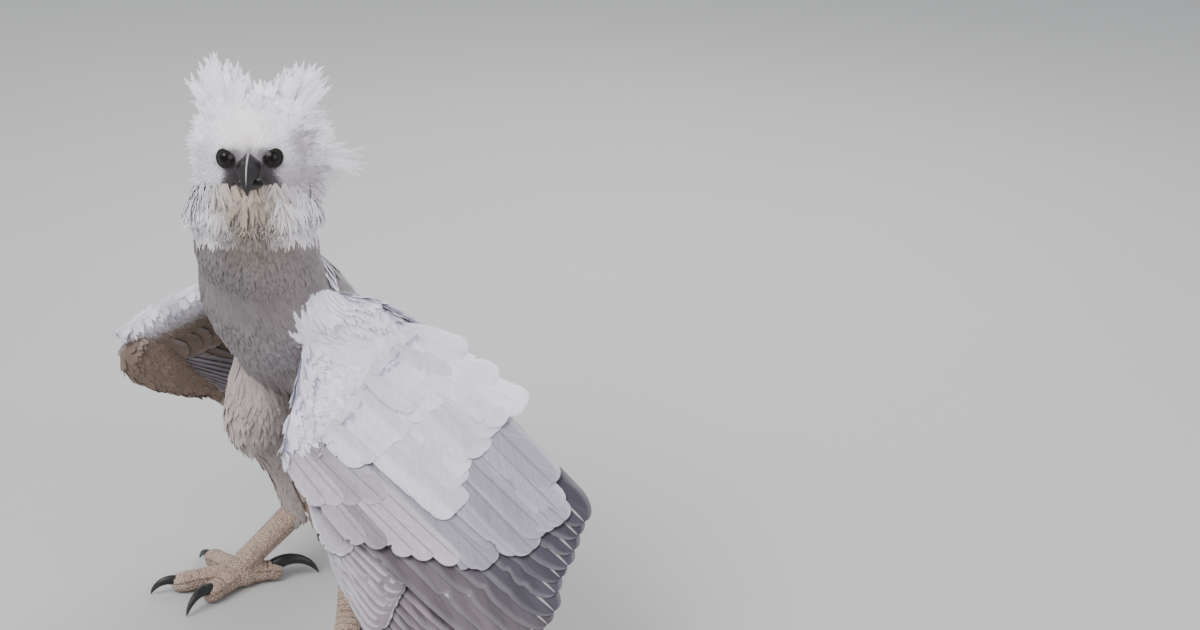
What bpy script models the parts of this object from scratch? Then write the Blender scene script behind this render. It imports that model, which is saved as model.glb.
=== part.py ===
"""Life-size harpy eagle, standing with its left wing half spread beside it and its right wing hanging.

The bird looks along -Y with its head turned to its left, +X is its left side and the floor is z = 0.
Each node is a closed solid. A node that grows from another is cut clear of it by GAP.
"""

import math
import random

import bmesh
import bpy
from mathutils import Matrix, Vector

OBJECT_NAME = "harpy_eagle"
SEED = 11
GAP = 0.0003
# Faces this close to one plane are merged after a Boolean
FLAT_ANGLE = math.radians(0.3)

# Trunk: stations along the spine from rump to neck, as (y, z, half width, half depth)
TORSO_STATIONS = (
    (0.146, 0.226, 0.014, 0.012),
    (0.130, 0.240, 0.042, 0.034),
    (0.092, 0.262, 0.066, 0.056),
    (0.040, 0.302, 0.087, 0.077),
    (-0.010, 0.346, 0.095, 0.085),
    (-0.048, 0.394, 0.094, 0.082),
    (-0.072, 0.436, 0.085, 0.070),
    (-0.086, 0.470, 0.064, 0.050),
    (-0.094, 0.492, 0.022, 0.018),
)
NECK_STATIONS = (
    (-0.070, 0.430, 0.084, 0.066),
    (-0.082, 0.470, 0.088, 0.072),
    (-0.086, 0.505, 0.084, 0.072),
    (-0.084, 0.540, 0.076, 0.067),
    (-0.080, 0.568, 0.054, 0.050),
    (-0.078, 0.584, 0.020, 0.020),
)
# The neck stands to the bird's left by this much at its foot and at its top
NECK_LEAN = (0.008, 0.028)

# Head: its middle, and how far it is turned to the bird's left and raised
HEAD_CENTRE = Vector((0.0269, -0.094, 0.5824))
HEAD_YAW = math.radians(34)
HEAD_PITCH = math.radians(15)
# Stations along the head from nape to face, as (forward, up, half width, half height)
HEAD_STATIONS = (
    (-0.074, -0.004, 0.014, 0.014),
    (-0.062, -0.003, 0.042, 0.040),
    (-0.036, -0.002, 0.064, 0.060),
    (-0.004, -0.002, 0.070, 0.064),
    (0.022, -0.003, 0.062, 0.058),
    (0.037, -0.004, 0.050, 0.047),
    (0.046, -0.006, 0.034, 0.034),
    (0.051, -0.008, 0.010, 0.010),
)
EYE_RADIUS = 0.0128
EYE_SPREAD = 0.0265
EYE_FORWARD = 0.0415
EYE_UP = 0.001
LID_RADIUS = 0.0026

# Bill: stations along its curve, as (forward, up, half width, half height)
BILL_STATIONS = (
    (0.030, -0.009, 0.0170, 0.0165),
    (0.045, -0.009, 0.0160, 0.0162),
    (0.058, -0.011, 0.0136, 0.0148),
    (0.0675, -0.016, 0.0106, 0.0120),
    (0.0750, -0.0245, 0.0070, 0.0082),
    (0.0768, -0.0330, 0.0038, 0.0046),
    (0.0740, -0.0400, 0.0009, 0.0012),
)
JAW_STATIONS = (
    (0.026, -0.0290, 0.0215, 0.0060),
    (0.042, -0.0300, 0.0175, 0.0060),
    (0.055, -0.0308, 0.0120, 0.0050),
    (0.0640, -0.0310, 0.0050, 0.0030),
    (0.0670, -0.0305, 0.0010, 0.0010),
)
NOSTRIL_RADIUS = 0.0026

# Ruff and crest: locks of the head, as lengths and half widths
RUFF_TIERS = (
    # forward place, root radius, tip radius, tip drawn back by, locks, half width
    (0.006, 0.057, 0.090, 0.016, 18, 0.0124),
    (-0.028, 0.056, 0.092, 0.030, 16, 0.0134),
)
CREST_PER_SIDE = 6
# Lengths and least leans of the two horns, the bird's left one first
CREST_LENGTHS = {1: 0.080, -1: 0.087}
CREST_LEANS = {1: math.radians(20), -1: math.radians(9)}
CREST_HALF_WIDTH = 0.0105
CREST_FAN = math.radians(34)
CREST_STRAY = math.radians(7)
LOCK_THICKNESS = 0.0012
# Half widths along a lock, as (place, share of its half width)
LOCK_SHAPE = ((0.0, 0.62), (0.42, 1.0), (0.78, 0.78), (1.0, 0.16))

# Legs: (x, y, z) of the joints and half widths
RIGHT_HIP = Vector((-0.046, -0.004, 0.300))
RIGHT_KNEE = Vector((-0.032, -0.044, 0.232))
RIGHT_ANKLE = Vector((-0.0125, -0.008, 0.085))
RIGHT_FOOT = Vector((-0.0530, -0.070, 0.024))
LEFT_HIP = Vector((0.052, -0.010, 0.300))
LEFT_KNEE = Vector((0.088, -0.062, 0.226))
LEFT_ANKLE = Vector((0.138, -0.078, 0.100))
LEFT_FOOT = Vector((0.182, -0.156, 0.024))
THIGH_RADII = (0.034, 0.047, 0.040, 0.029, 0.0200, 0.0185)
# Shares of the shin at which the radii after the first are met
SHIN_SHARES = (0.0, 0.2, 0.4, 0.62, 1.0)
TARSUS_RADII = (0.0170, 0.0162, 0.0152, 0.0160)
TOE_RADIUS = 0.0132
SOLE_SINK = 0.0020
# Toes: heading from the foot's own heading, length, claw length and claw radius
TOES = (
    ("hallux", 178, 0.052, 0.066, 0.0088),
    ("inner", -42, 0.066, 0.056, 0.0080),
    ("middle", 0, 0.086, 0.044, 0.0070),
    ("outer", 62, 0.070, 0.038, 0.0062),
)
# Pads along a toe, as (share of its length, height over the sole, share of its radius)
TOE_SHAPE = ((0.0, 0.006, 1.12), (0.22, 0.003, 1.00), (0.42, 0.002, 1.06), (0.62, 0.002, 0.94),
             (0.80, 0.000, 1.00), (0.94, -0.001, 0.80), (1.0, -0.001, 0.50))
# Scutes as bands, as (from, to, bands, rise of each far edge)
TARSUS_SCUTES = (0.10, 0.90, 6, 0.0009)
TOE_SCUTES = (0.20, 0.78, 4, 0.0008)
# A claw bends through its arc, and leaves the toe upwards by the rise
CLAW_ARC = 1.75
CLAW_RISE = 0.55
CLAW_SINK = 0.010
CLAW_TIP = 0.0004
PAD_RADIUS = 0.0200
PAD_HEIGHT = 0.0125
RIGHT_HEADING = math.radians(-42)
LEFT_HEADING = math.radians(14)

# Tail: twelve flight feathers on a short root
TAIL_BASE = Vector((0.0, 0.118, 0.236))
TAIL_DIP = math.radians(36)
TAIL_YAW = math.radians(13)
TAIL_LENGTH = 0.352
TAIL_FEATHERS = 12
TAIL_FAN = math.radians(14)
TAIL_HALF_WIDTH = 0.026
TAIL_STEP = 0.0013

# Flight feathers: lengths from the innermost secondary out, and common sizes
VANE_THICKNESS = 0.0008
SECONDARIES = 11
SECONDARY_LENGTH = 0.385
PRIMARIES = 10
PRIMARY_LENGTHS = (0.350, 0.360, 0.372, 0.388, 0.404, 0.416, 0.420, 0.404, 0.366, 0.300)
FLIGHT_HALF_WIDTH = 0.025
FOREARM = 0.185
ELBOW_REACH = 0.014
HAND = 0.124
VANE_TILT = 0.10
# The forearm from the elbow out, as (share, width behind, half thickness)
LEFT_ARM = ((0.0, 0.024, 0.0200), (0.2, 0.023, 0.0185), (0.45, 0.021, 0.0165), (0.7, 0.020, 0.0145),
            (0.9, 0.019, 0.0130), (1.0, 0.018, 0.0070))
RIGHT_ARM = ((0.0, 0.026, 0.0200), (0.2, 0.030, 0.0200), (0.45, 0.036, 0.0195), (0.7, 0.040, 0.0190),
             (0.9, 0.038, 0.0175), (1.0, 0.030, 0.0100))
# The hand from the wrist out, as (share, width ahead, width behind, half thickness)
LEFT_HAND = ((0.0, 0.020, 0.019, 0.0130), (0.25, 0.019, 0.0165, 0.0120), (0.6, 0.015, 0.013, 0.0100),
             (0.9, 0.010, 0.010, 0.0082), (1.06, 0.008, 0.0085, 0.0072))
RIGHT_HAND = ((-0.10, 0.034, 0.024, 0.0160), (0.05, 0.046, 0.024, 0.0200), (0.3, 0.046, 0.020, 0.0180),
              (0.6, 0.034, 0.015, 0.0130), (0.85, 0.018, 0.012, 0.0092), (1.04, 0.009, 0.0085, 0.0072))
# The upper arm from the shoulder to the elbow, as (x, y, z, radius)
LEFT_HUMERUS = ((0.030, -0.088, 0.388, 0.030), (0.085, -0.054, 0.384, 0.038),
                (0.135, 0.002, 0.362, 0.032), (0.160, 0.026, 0.342, 0.016))
RIGHT_HUMERUS = ((-0.040, -0.045, 0.412, 0.034), (-0.080, 0.000, 0.406, 0.038),
                 (-0.108, 0.050, 0.388, 0.030), (-0.118, 0.080, 0.368, 0.018))
# Each primary lies this much under the one inside it
HAND_STEP = 0.0009

COLOURS = {
    "plumage": ((0.78, 0.76, 0.77), 0.85),
    "mantle": ((0.60, 0.58, 0.60), 0.85),
    "flight": ((0.33, 0.32, 0.34), 0.75),
    "horn": ((0.05, 0.05, 0.055), 0.35),
    "scale": ((0.80, 0.68, 0.45), 0.55),
    "eye": ((0.02, 0.015, 0.012), 0.10),
}


def clear_scene():
    """Empties the scene."""
    for obj in list(bpy.data.objects):
        bpy.data.objects.remove(obj, do_unlink=True)


def material(name):
    """The Principled material of one finish."""
    found = bpy.data.materials.get(name)
    if found:
        return found
    colour, roughness = COLOURS[name]
    made = bpy.data.materials.new(name)
    made.use_nodes = True
    shader = made.node_tree.nodes["Principled BSDF"]
    shader.inputs["Base Color"].default_value = (*colour, 1.0)
    shader.inputs["Roughness"].default_value = roughness
    shader.inputs["Metallic"].default_value = 0.0
    return made


def collection(name):
    """A collection of the scene, made when first asked for."""
    found = bpy.data.collections.get(name)
    if not found:
        found = bpy.data.collections.new(name)
        bpy.context.scene.collection.children.link(found)
    return found


def mesh_object(name, points, faces):
    """An object with a closed mesh whose faces point out."""
    mesh = bpy.data.meshes.new(name)
    mesh.from_pydata([tuple(point) for point in points], [], faces)
    shape = bmesh.new()
    shape.from_mesh(mesh)
    bmesh.ops.recalc_face_normals(shape, faces=shape.faces)
    shape.to_mesh(mesh)
    shape.free()
    obj = bpy.data.objects.new(name, mesh)
    collection("pieces").objects.link(obj)
    return obj


def spline(rows, place):
    """The row at a place from 0 to 1 on a smooth curve through rows of numbers."""
    last = len(rows) - 1
    spot = min(max(place, 0.0), 1.0) * last
    index = min(int(spot), last - 1)
    t = spot - index
    before, start = rows[max(index - 1, 0)], rows[index]
    end, after = rows[index + 1], rows[min(index + 2, last)]
    return tuple(
        0.5 * (2 * b + (c - a) * t + (2 * a - 5 * b + 4 * c - d) * t * t + (3 * b - a - 3 * c + d) * t**3)
        for a, b, c, d in zip(before, start, end, after)
    )


def loft(name, rings):
    """A closed solid through rings of points, with a flat cap at each end."""
    sides = len(rings[0])
    points = [point for ring in rings for point in ring]
    faces = []
    for step in range(len(rings) - 1):
        for side in range(sides):
            here, beside = step * sides + side, step * sides + (side + 1) % sides
            faces.append((here, beside, beside + sides))
            faces.append((here, beside + sides, here + sides))
    first, last = points[:sides], points[-sides:]
    for ring, start in ((first, 0), (last, len(points) - sides)):
        points.append(sum(ring, Vector()) / sides)
        hub = len(points) - 1
        faces += [(hub, start + side, start + (side + 1) % sides) for side in range(sides)]
    return mesh_object(name, points, faces)


def ring_of(centre, across, up, half_width, half_height, sides):
    """An elliptical ring of points, with a flat side at its top and its bottom."""
    start = math.pi * (2 + sides % 4) / (2 * sides)
    turns = (start + 2 * math.pi * side / sides for side in range(sides))
    return [centre + across * (half_width * math.cos(t)) + up * (half_height * math.sin(t)) for t in turns]


def tube(name, rows, sides, steps, across=Vector((1, 0, 0)), grow=0.0, floor=False, scutes=None):
    """A smooth elliptical loft along rows of (x, y, z, half width, half height).

    Scutes are bands between two places, each raised at its far edge, as (from, to, bands, rise).
    """
    samples = [spline(rows, step / steps) for step in range(steps + 1)]
    if scutes:
        first, last, bands, rise = scutes
        samples = [spline(rows, 0.0)]
        for band in range(bands):
            near, far = (first + (last - first) * (band + edge) / bands for edge in (0.04, 0.96))
            x, y, z, wide, tall = spline(rows, far)
            samples += [spline(rows, near), (x, y, z, wide + rise, tall + rise)]
        samples.append(spline(rows, 1.0))
        steps = len(samples) - 1
    rings = []
    for step, row in enumerate(samples):
        ahead = Vector(samples[min(step + 1, steps)][:3]) - Vector(samples[max(step - 1, 0)][:3])
        ahead.normalize()
        up = ahead.cross(across).normalized()
        side = up.cross(ahead)
        centre = Vector(row[:3])
        if step in (0, steps):
            centre += ahead * (grow if step else -grow)
        rings.append(ring_of(centre, side, up, row[3] + grow, row[4] + grow, sides))
    if floor:
        for ring in rings:
            for point in ring:
                point.z = max(point.z, 0.0)
    return loft(name, rings)


def slab(name, edges, thickness, lift=None):
    """A thin vane from rows of (left, right, normal), with both faces split alike."""
    points, faces = [], []
    for left, right, normal in edges:
        half = normal * (thickness / 2)
        points += [left + half, right + half, right - half, left - half]
    for step in range(len(edges) - 1):
        a, b = 4 * step, 4 * step + 4
        faces += [(a, a + 1, b + 1), (a, b + 1, b)]
        faces += [(a + 3, b + 2, a + 2), (a + 3, b + 3, b + 2)]
        faces += [(a + 1, a + 2, b + 2), (a + 1, b + 2, b + 1)]
        faces += [(a + 3, a, b), (a + 3, b, b + 3)]
    end = 4 * (len(edges) - 1)
    faces += [(0, 3, 2), (0, 2, 1), (end, end + 1, end + 2), (end, end + 2, end + 3)]
    if lift:
        points = [lift(point, index % 4 < 2) for index, point in enumerate(points)]
    return mesh_object(name, points, faces)


def applied(obj):
    """Makes the object's modifiers part of its mesh, and keeps only its largest closed surface."""
    graph = bpy.context.evaluated_depsgraph_get()
    mesh = bpy.data.meshes.new_from_object(obj.evaluated_get(graph))
    obj.modifiers.clear()
    obj.data = mesh
    shape = bmesh.new()
    shape.from_mesh(mesh)
    bmesh.ops.triangulate(shape, faces=shape.faces)
    bmesh.ops.dissolve_degenerate(shape, dist=1e-7, edges=shape.edges)
    bmesh.ops.dissolve_limit(shape, angle_limit=FLAT_ANGLE, verts=shape.verts, edges=shape.edges)
    bmesh.ops.triangulate(shape, faces=shape.faces)
    keep_largest(shape)
    shape.to_mesh(mesh)
    shape.free()
    return obj


def keep_largest(shape):
    """Deletes all but the connected surface that encloses most."""
    left, best, most = set(shape.verts), set(), -1.0
    while left:
        found, edge = set(), [left.pop()]
        while edge:
            vertex = edge.pop()
            found.add(vertex)
            near = {link.other_vert(vertex) for link in vertex.link_edges} & left
            left -= near
            edge += near
        faces = {face for vertex in found for face in vertex.link_faces}
        volume = sum(f.verts[0].co.dot(f.verts[1].co.cross(f.verts[2].co)) for f in faces)
        if volume > most:
            best, most = found, volume
    bmesh.ops.delete(shape, geom=[vertex for vertex in shape.verts if vertex not in best], context="VERTS")


def boolean(obj, others, operation, solver="EXACT"):
    """Joins or cuts with all the other objects in one step, and removes them."""
    operands = collection("operands")
    for other in others:
        for home in list(other.users_collection):
            home.objects.unlink(other)
        operands.objects.link(other)
    modifier = obj.modifiers.new(operation.title(), "BOOLEAN")
    modifier.operation = operation
    modifier.operand_type = "COLLECTION"
    modifier.collection = operands
    modifier.solver = solver
    applied(obj)
    for other in others:
        bpy.data.objects.remove(other, do_unlink=True)
    return obj


def node(obj, name, finish):
    """Files a finished solid as a named node of the bird."""
    obj.name = name
    obj.data.name = name
    for home in list(obj.users_collection):
        home.objects.unlink(obj)
    collection(OBJECT_NAME).objects.link(obj)
    obj.data.materials.clear()
    obj.data.materials.append(material(finish))
    obj.data.shade_smooth()
    obj.data.set_sharp_from_angle(angle=math.radians(40))
    return obj


def spine(stations):
    """Stations of the trunk as rows for a tube."""
    return [(0.0, y, z, width, depth) for y, z, width, depth in stations]


def torso(grow=0.0):
    """The trunk."""
    return tube("torso", spine(TORSO_STATIONS), 18, 12, grow=grow)


def neck(grow=0.0):
    """The thick neck."""
    rows = []
    low, high = NECK_LEAN
    for index, (_, y, z, width, depth) in enumerate(spine(NECK_STATIONS)):
        rows.append((low + (high - low) * index / (len(NECK_STATIONS) - 1), y, z, width, depth))
    return tube("neck", rows, 18, 7, grow=grow)


# Head

HEAD_TURN = Matrix.Rotation(HEAD_YAW, 3, "Z") @ Matrix.Rotation(-HEAD_PITCH, 3, "X")


def on_head(side, forward, up):
    """A point given to the bird's left, forward and up from the head's middle."""
    return HEAD_CENTRE + HEAD_TURN @ Vector((side, -forward, up))


def head_tube(name, stations, sides, steps, grow=0.0):
    """A loft along the head's middle plane."""
    rows = [(*on_head(0, forward, up), width, height) for forward, up, width, height in stations]
    return tube(name, rows, sides, steps, across=HEAD_TURN @ Vector((1, 0, 0)), grow=grow)


def head_core(grow=0.0):
    """The skull with its short feathers."""
    return head_tube("head_core", HEAD_STATIONS, 18, 12, grow)


def ball(name, centre, radius, segments, rings):
    """A sphere."""
    shape = bmesh.new()
    bmesh.ops.create_uvsphere(shape, u_segments=segments, v_segments=rings, radius=radius)
    mesh = bpy.data.meshes.new(name)
    shape.to_mesh(mesh)
    shape.free()
    obj = bpy.data.objects.new(name, mesh)
    obj.data.transform(Matrix.Translation(centre))
    collection("pieces").objects.link(obj)
    return obj


def eye_centre(side):
    """The middle of the eyeball on one side, +1 for the bird's left."""
    return on_head(side * EYE_SPREAD, EYE_FORWARD, EYE_UP)


def eye(side, grow=0.0):
    """An eyeball."""
    return ball("eye", eye_centre(side), EYE_RADIUS + grow, 14, 9)


def lid(side):
    """The ring of bare lid round an eye, deeper at the brow."""
    out = HEAD_TURN @ Vector((side * 0.30, -0.95, 0.06)).normalized()
    across = out.cross(HEAD_TURN @ Vector((0, 0, 1))).normalized()
    up = across.cross(out)
    centre = eye_centre(side) + out * (EYE_RADIUS * 0.34)
    rings, steps = [], 12
    for step in range(steps):
        turn = 2 * math.pi * step / steps
        spoke = across * math.cos(turn) + up * math.sin(turn)
        thick = LID_RADIUS * (1.25 + 0.35 * math.sin(turn))
        rings.append(ring_of(centre + spoke * (EYE_RADIUS * 0.97), spoke, out, thick, thick, 5))
    points = [point for ring in rings for point in ring]
    faces = []
    for step in range(steps):
        for side_step in range(5):
            a = step * 5 + side_step
            b = step * 5 + (side_step + 1) % 5
            c, d = (b + 5) % len(points), (a + 5) % len(points)
            faces += [(a, b, c), (a, c, d)]
    return mesh_object("lid", points, faces)


def lock(name, root, tip, bend, across, half_width):
    """A flat tapered lock that bends from its root to its tip."""
    rows = []
    for place, width in LOCK_SHAPE:
        centre = root.lerp(tip, place) + bend * (4 * place * (1 - place))
        slope = (tip - root) + bend * (4 - 8 * place)
        normal = across.cross(slope).normalized()
        side = across * (half_width * width)
        rows.append((centre - side, centre + side, normal))
    return slab(name, rows, LOCK_THICKNESS)


def ruff(rng):
    """Locks that stand round the face in two tiers."""
    locks = []
    for tier, (forward, inner, outer, back, count, half_width) in enumerate(RUFF_TIERS):
        for index in range(count):
            turn = 2 * math.pi * (index + 0.5 * tier) / count
            wide, tall = 1.04 * math.cos(turn), 0.90 * math.sin(turn)
            reach = outer * (1 + rng.uniform(-0.05, 0.04))
            root = on_head(inner * wide, forward, inner * tall)
            tip = on_head(reach * wide, forward - back - rng.uniform(0, 0.006), reach * tall)
            across = HEAD_TURN @ Vector((-math.sin(turn), 0.10, math.cos(turn))).normalized()
            bend = HEAD_TURN @ Vector((0.004 * wide, -0.004, 0.004 * tall))
            locks.append(lock("ruff", root, tip, bend, across, half_width))
    return locks


def crest(rng):
    """The two horns of long feathers on the back of the crown."""
    locks = []
    for side in (-1, 1):
        for index in range(CREST_PER_SIDE):
            spread = (index + 0.5) / CREST_PER_SIDE
            lean = CREST_LEANS[side] + CREST_FAN * spread + rng.uniform(-CREST_STRAY, CREST_STRAY)
            length = CREST_LENGTHS[side] * (1 - 0.42 * abs(spread - 0.45)) * (1 + rng.uniform(-0.20, 0.08))
            layer = 0.010 * (index % 2)
            root = on_head(side * (0.012 + 0.034 * spread), -0.018 - layer, 0.044 - 0.010 * spread)
            out = HEAD_TURN @ Vector((side * math.sin(lean), 0.30, math.cos(lean))).normalized()
            across = HEAD_TURN @ Vector((math.cos(lean), 0.15, -side * math.sin(lean))).normalized()
            bend = HEAD_TURN @ Vector((0, -0.006, 0))
            locks.append(lock("crest", root, root + out * length, bend, across, CREST_HALF_WIDTH))
    return locks


def bill(grow=0.0):
    """The hooked upper bill with its cere."""
    return head_tube("bill", BILL_STATIONS, 12, 10, grow)


def jaw(grow=0.0):
    """The lower bill."""
    return head_tube("jaw", JAW_STATIONS, 12, 6, grow)


def build_head(rng):
    """The head with its eyes and bill."""
    head = head_core()
    boolean(head, [lid(-1), lid(1), *ruff(rng), *crest(rng)], "UNION")
    boolean(head, [neck(GAP), torso(GAP), eye(-1, GAP), eye(1, GAP)], "DIFFERENCE")
    node(head, "head", "plumage")
    node(eye(1), "eye_left", "eye")
    node(eye(-1), "eye_right", "eye")
    upper = bill()
    nostrils = [ball("nostril", on_head(s * 0.0152, 0.052, -0.006), NOSTRIL_RADIUS, 8, 6) for s in (-1, 1)]
    boolean(upper, [head_core(GAP), *nostrils], "DIFFERENCE")
    node(upper, "beak_upper", "horn")
    lower = jaw()
    boolean(lower, [head_core(GAP), neck(GAP), bill(3 * GAP)], "DIFFERENCE")
    node(lower, "beak_lower", "horn")


# Legs


def leg_rows(*places):
    """Rows of a leg's tube from (point, radius) pairs."""
    return [(*point, radius, radius) for point, radius in places]


def thigh(hip, knee, ankle, grow=0.0):
    """The feathered thigh and shin as one tapered form."""
    shin = [knee.lerp(ankle, share) for share in SHIN_SHARES]
    rows = leg_rows((hip, THIGH_RADII[0] * 1.25), *zip(shin, THIGH_RADII[1:]))
    return tube("thigh", rows, 12, 8, grow=grow)


def tarsus(ankle, foot, grow=0.0):
    """The bare shank from ankle to foot."""
    start = ankle + (ankle - foot) * 0.06
    points = [start.lerp(foot, share) for share in (0.0, 0.34, 0.70, 1.0)]
    rows = leg_rows(*zip(points, TARSUS_RADII))
    return tube("tarsus", rows, 10, 6, grow=grow, scutes=TARSUS_SCUTES)


def heading_vector(heading):
    """A level unit vector: 0 is straight ahead, and more turns to the bird's left."""
    return Vector((math.sin(heading), -math.cos(heading), 0.0))


def toe(foot, heading, length, grow=0.0):
    """One padded toe on the floor."""
    ahead = heading_vector(heading)
    sole = TOE_RADIUS - SOLE_SINK
    start = Vector((foot.x, foot.y, sole))
    rows = []
    for share, height, radius in TOE_SHAPE:
        centre = start + ahead * (length * share)
        centre.z = sole + height
        rows.append((*centre, TOE_RADIUS * radius, TOE_RADIUS * radius))
    across = Vector((-ahead.y, ahead.x, 0.0))
    return tube("toe", rows, 8, 8, across=across, grow=grow, floor=not grow, scutes=TOE_SCUTES)


def claw(foot, heading, length, reach, radius):
    """A curved claw that comes out of a toe and bends down to the floor."""
    ahead = heading_vector(heading)
    start = Vector((foot.x, foot.y, 0.0)) + ahead * (length - CLAW_SINK)
    bow = reach / CLAW_ARC
    rows = []
    for step in range(7):
        share = step / 6
        turn = CLAW_ARC * share - CLAW_RISE
        along = bow * (math.sin(turn) + math.sin(CLAW_RISE))
        height = bow * (math.cos(turn) - math.cos(CLAW_ARC - CLAW_RISE))
        thick = radius * (1 - share) ** 0.65 + CLAW_TIP
        rows.append((*(start + ahead * along + Vector((0, 0, height))), thick * 0.85, thick))
    lowest = min(row[2] - row[4] for row in rows)
    across = Vector((-ahead.y, ahead.x, 0.0))
    rows = [(x, y, z - lowest + CLAW_TIP, wide, tall) for x, y, z, wide, tall in rows]
    return tube("claw", rows, 7, 6, across=across)


def build_leg(side, hip, knee, ankle, foot, heading):
    """One leg from the thigh to the claws."""
    mirror = 1 if side == "left" else -1
    upper = thigh(hip, knee, ankle)
    boolean(upper, [torso(GAP)], "DIFFERENCE")
    node(upper, f"thigh_{side}", "plumage")
    shank = tarsus(ankle, foot)
    boolean(shank, [thigh(hip, knee, ankle, GAP)], "DIFFERENCE")
    node(shank, f"tarsus_{side}", "scale")
    toes = []
    for name, turn, length, claw_length, claw_radius in TOES:
        toes.append((name, heading + mirror * math.radians(turn), length, claw_length, claw_radius))
    pad = ball("pad", Vector((foot.x, foot.y, PAD_HEIGHT)), PAD_RADIUS, 9, 6)
    for vertex in pad.data.vertices:
        vertex.co.z = max(PAD_HEIGHT + (vertex.co.z - PAD_HEIGHT) * 0.80, 0.0)
    whole = boolean(pad, [toe(foot, turn, length) for _, turn, length, _, _ in toes], "UNION")
    boolean(whole, [tarsus(ankle, foot, GAP)], "DIFFERENCE")
    node(whole, f"foot_{side}", "scale")
    for name, turn, length, claw_length, claw_radius in toes:
        nail = claw(foot, turn, length, claw_length, claw_radius)
        boolean(nail, [toe(foot, turn, length, GAP)], "DIFFERENCE")
        node(nail, f"claw_{side}_{name}", "horn")


# Feathers on a sheet


class Sheet:
    """The curved surface that a wing or the tail lies on.

    A point is given along the arm, out to the feather tips, and up from the sheet.
    """

    def __init__(self, origin, along, out, upper, droop, low):
        self.origin, self.along = origin, along.normalized()
        self.upper = (upper - self.along * upper.dot(self.along)).normalized()
        self.out = (out - self.along * out.dot(self.along))
        self.out = (self.out - self.upper * self.out.dot(self.upper)).normalized()
        self.droop, self.low = droop, low

    def surface(self, along, out):
        """A point of the sheet itself, eased level where it nears the floor."""
        sag = self.droop * max(out, 0.0) ** 2
        point = self.origin + self.along * along + self.out * out - self.upper * sag
        soft = 0.014
        rise = (point.z - self.low) / soft
        if rise < 12:
            point.z = self.low + soft * math.log1p(math.exp(rise))
        return point

    def place(self, along, out, height):
        """The point at a height over the sheet, and the sheet's normal there."""
        step = 0.002
        here = self.surface(along, out)
        slope = self.surface(along + step, out) - here
        fall = self.surface(along, out + step) - here
        normal = slope.cross(fall).normalized()
        if normal.dot(self.upper) < 0:
            normal.negate()
        return here + normal * height, normal


FLIGHT_SHAPE = ((0.0, 0.34), (0.28, 0.82), (0.62, 1.0), (0.91, 0.80), (1.0, 0.28))
COVERT_SHAPE = ((0.0, 0.5), (0.42, 0.97), (0.84, 0.90), (1.0, 0.34))


def feather(sheet, base, angle, length, half_width, height, tilt, bend=0.0, shape=COVERT_SHAPE, rise=0.0):
    """One vane on a sheet: its edge on the far side of the wing lies higher, and it may curve in the sheet."""
    rows = []
    steps = 24
    track = [Vector(base)]
    for step in range(steps):
        turn = angle + bend * step / steps
        track.append(track[-1] + Vector((math.cos(turn), math.sin(turn))) * (length / steps))
    for place, width in shape:
        centre = track[round(place * steps)]
        turn = angle + bend * place
        side = Vector((math.sin(turn), -math.cos(turn))) * (half_width * width)
        level = height + rise * (1 - place) ** 2
        left, _ = sheet.place(*(centre - side), level - tilt * half_width * width)
        right, _ = sheet.place(*(centre + side), level + tilt * half_width * width)
        _, normal = sheet.place(*centre, level)
        rows.append((left, right, normal))
    return slab("vane", rows, VANE_THICKNESS, on_floor)


def on_floor(point, upper_face):
    """Lays a vane's point on the floor where it would dip below it."""
    point.z = max(point.z, VANE_THICKNESS if upper_face else 0.0)
    return point


# Wings


class Wing:
    """Sizes and place of one wing."""

    def __init__(self, side, joints, out, upper, droop, low, angles, bend, hand_drop, inner, lead, forms):
        self.side, self.bend, self.hand_drop, self.inner = side, bend, hand_drop, inner
        self.lead_shoulder, elbow, wrist = joints
        self.sheet = Sheet(wrist, wrist - elbow, out, upper, droop, low)
        self.hand_angle = math.radians(angles["hand"])
        self.primary_angles = [math.radians(angle) for angle in angles["primaries"]]
        self.secondary_angles = [math.radians(angle) for angle in angles["secondaries"]]
        self.lead_wrist = lead
        self.arm, self.hand, self.humerus = forms

    def hand_direction(self):
        """The hand's direction in the sheet."""
        return Vector((math.cos(self.hand_angle), math.sin(self.hand_angle)))


LEFT_WING = Wing(
    "left",
    joints=(Vector((0.066, -0.070, 0.372)), Vector((0.149, -0.001, 0.356)), Vector((0.117, -0.150, 0.251))),
    out=Vector((0.958, -0.003, -0.288)),
    upper=Vector((0.230, -0.594, 0.771)),
    droop=0.06,
    low=0.010,
    angles={"hand": 58, "primaries": (80, 64), "secondaries": (74, 80)},
    bend=math.radians(4),
    hand_drop=0.016,
    inner=0.90,
    lead=(0.014, -0.020),
    forms=(LEFT_ARM, LEFT_HAND, LEFT_HUMERUS),
)
RIGHT_WING = Wing(
    "right",
    joints=(Vector((-0.070, -0.040, 0.404)), Vector((-0.118, 0.080, 0.366)), Vector((-0.208, -0.070, 0.300))),
    out=Vector((0.000, 0.330, -0.944)),
    upper=Vector((-0.880, 0.470, 0.060)),
    droop=-0.03,
    low=0.012,
    angles={"hand": 117, "primaries": (130, 119), "secondaries": (112, 122)},
    bend=math.radians(10),
    hand_drop=0.018,
    inner=0.80,
    lead=(0.022, -0.024),
    forms=(RIGHT_ARM, RIGHT_HAND, RIGHT_HUMERUS),
)


def blade(name, pairs, sides, grow=0.0):
    """A loft of flat ellipses between rows of (leading point, trailing point, normal, half thickness)."""
    rings = []
    for step, (lead, trail, normal, thick) in enumerate(pairs):
        centre, chord = (lead + trail) / 2, trail - lead
        if grow and step in (0, len(pairs) - 1):
            other = pairs[1 if step == 0 else step - 1]
            centre = centre + (centre - (other[0] + other[1]) / 2).normalized() * grow
        half = chord.length / 2 + grow
        rings.append(ring_of(centre, chord.normalized(), normal, half, thick + grow, sides))
    return loft(name, rings)


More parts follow.
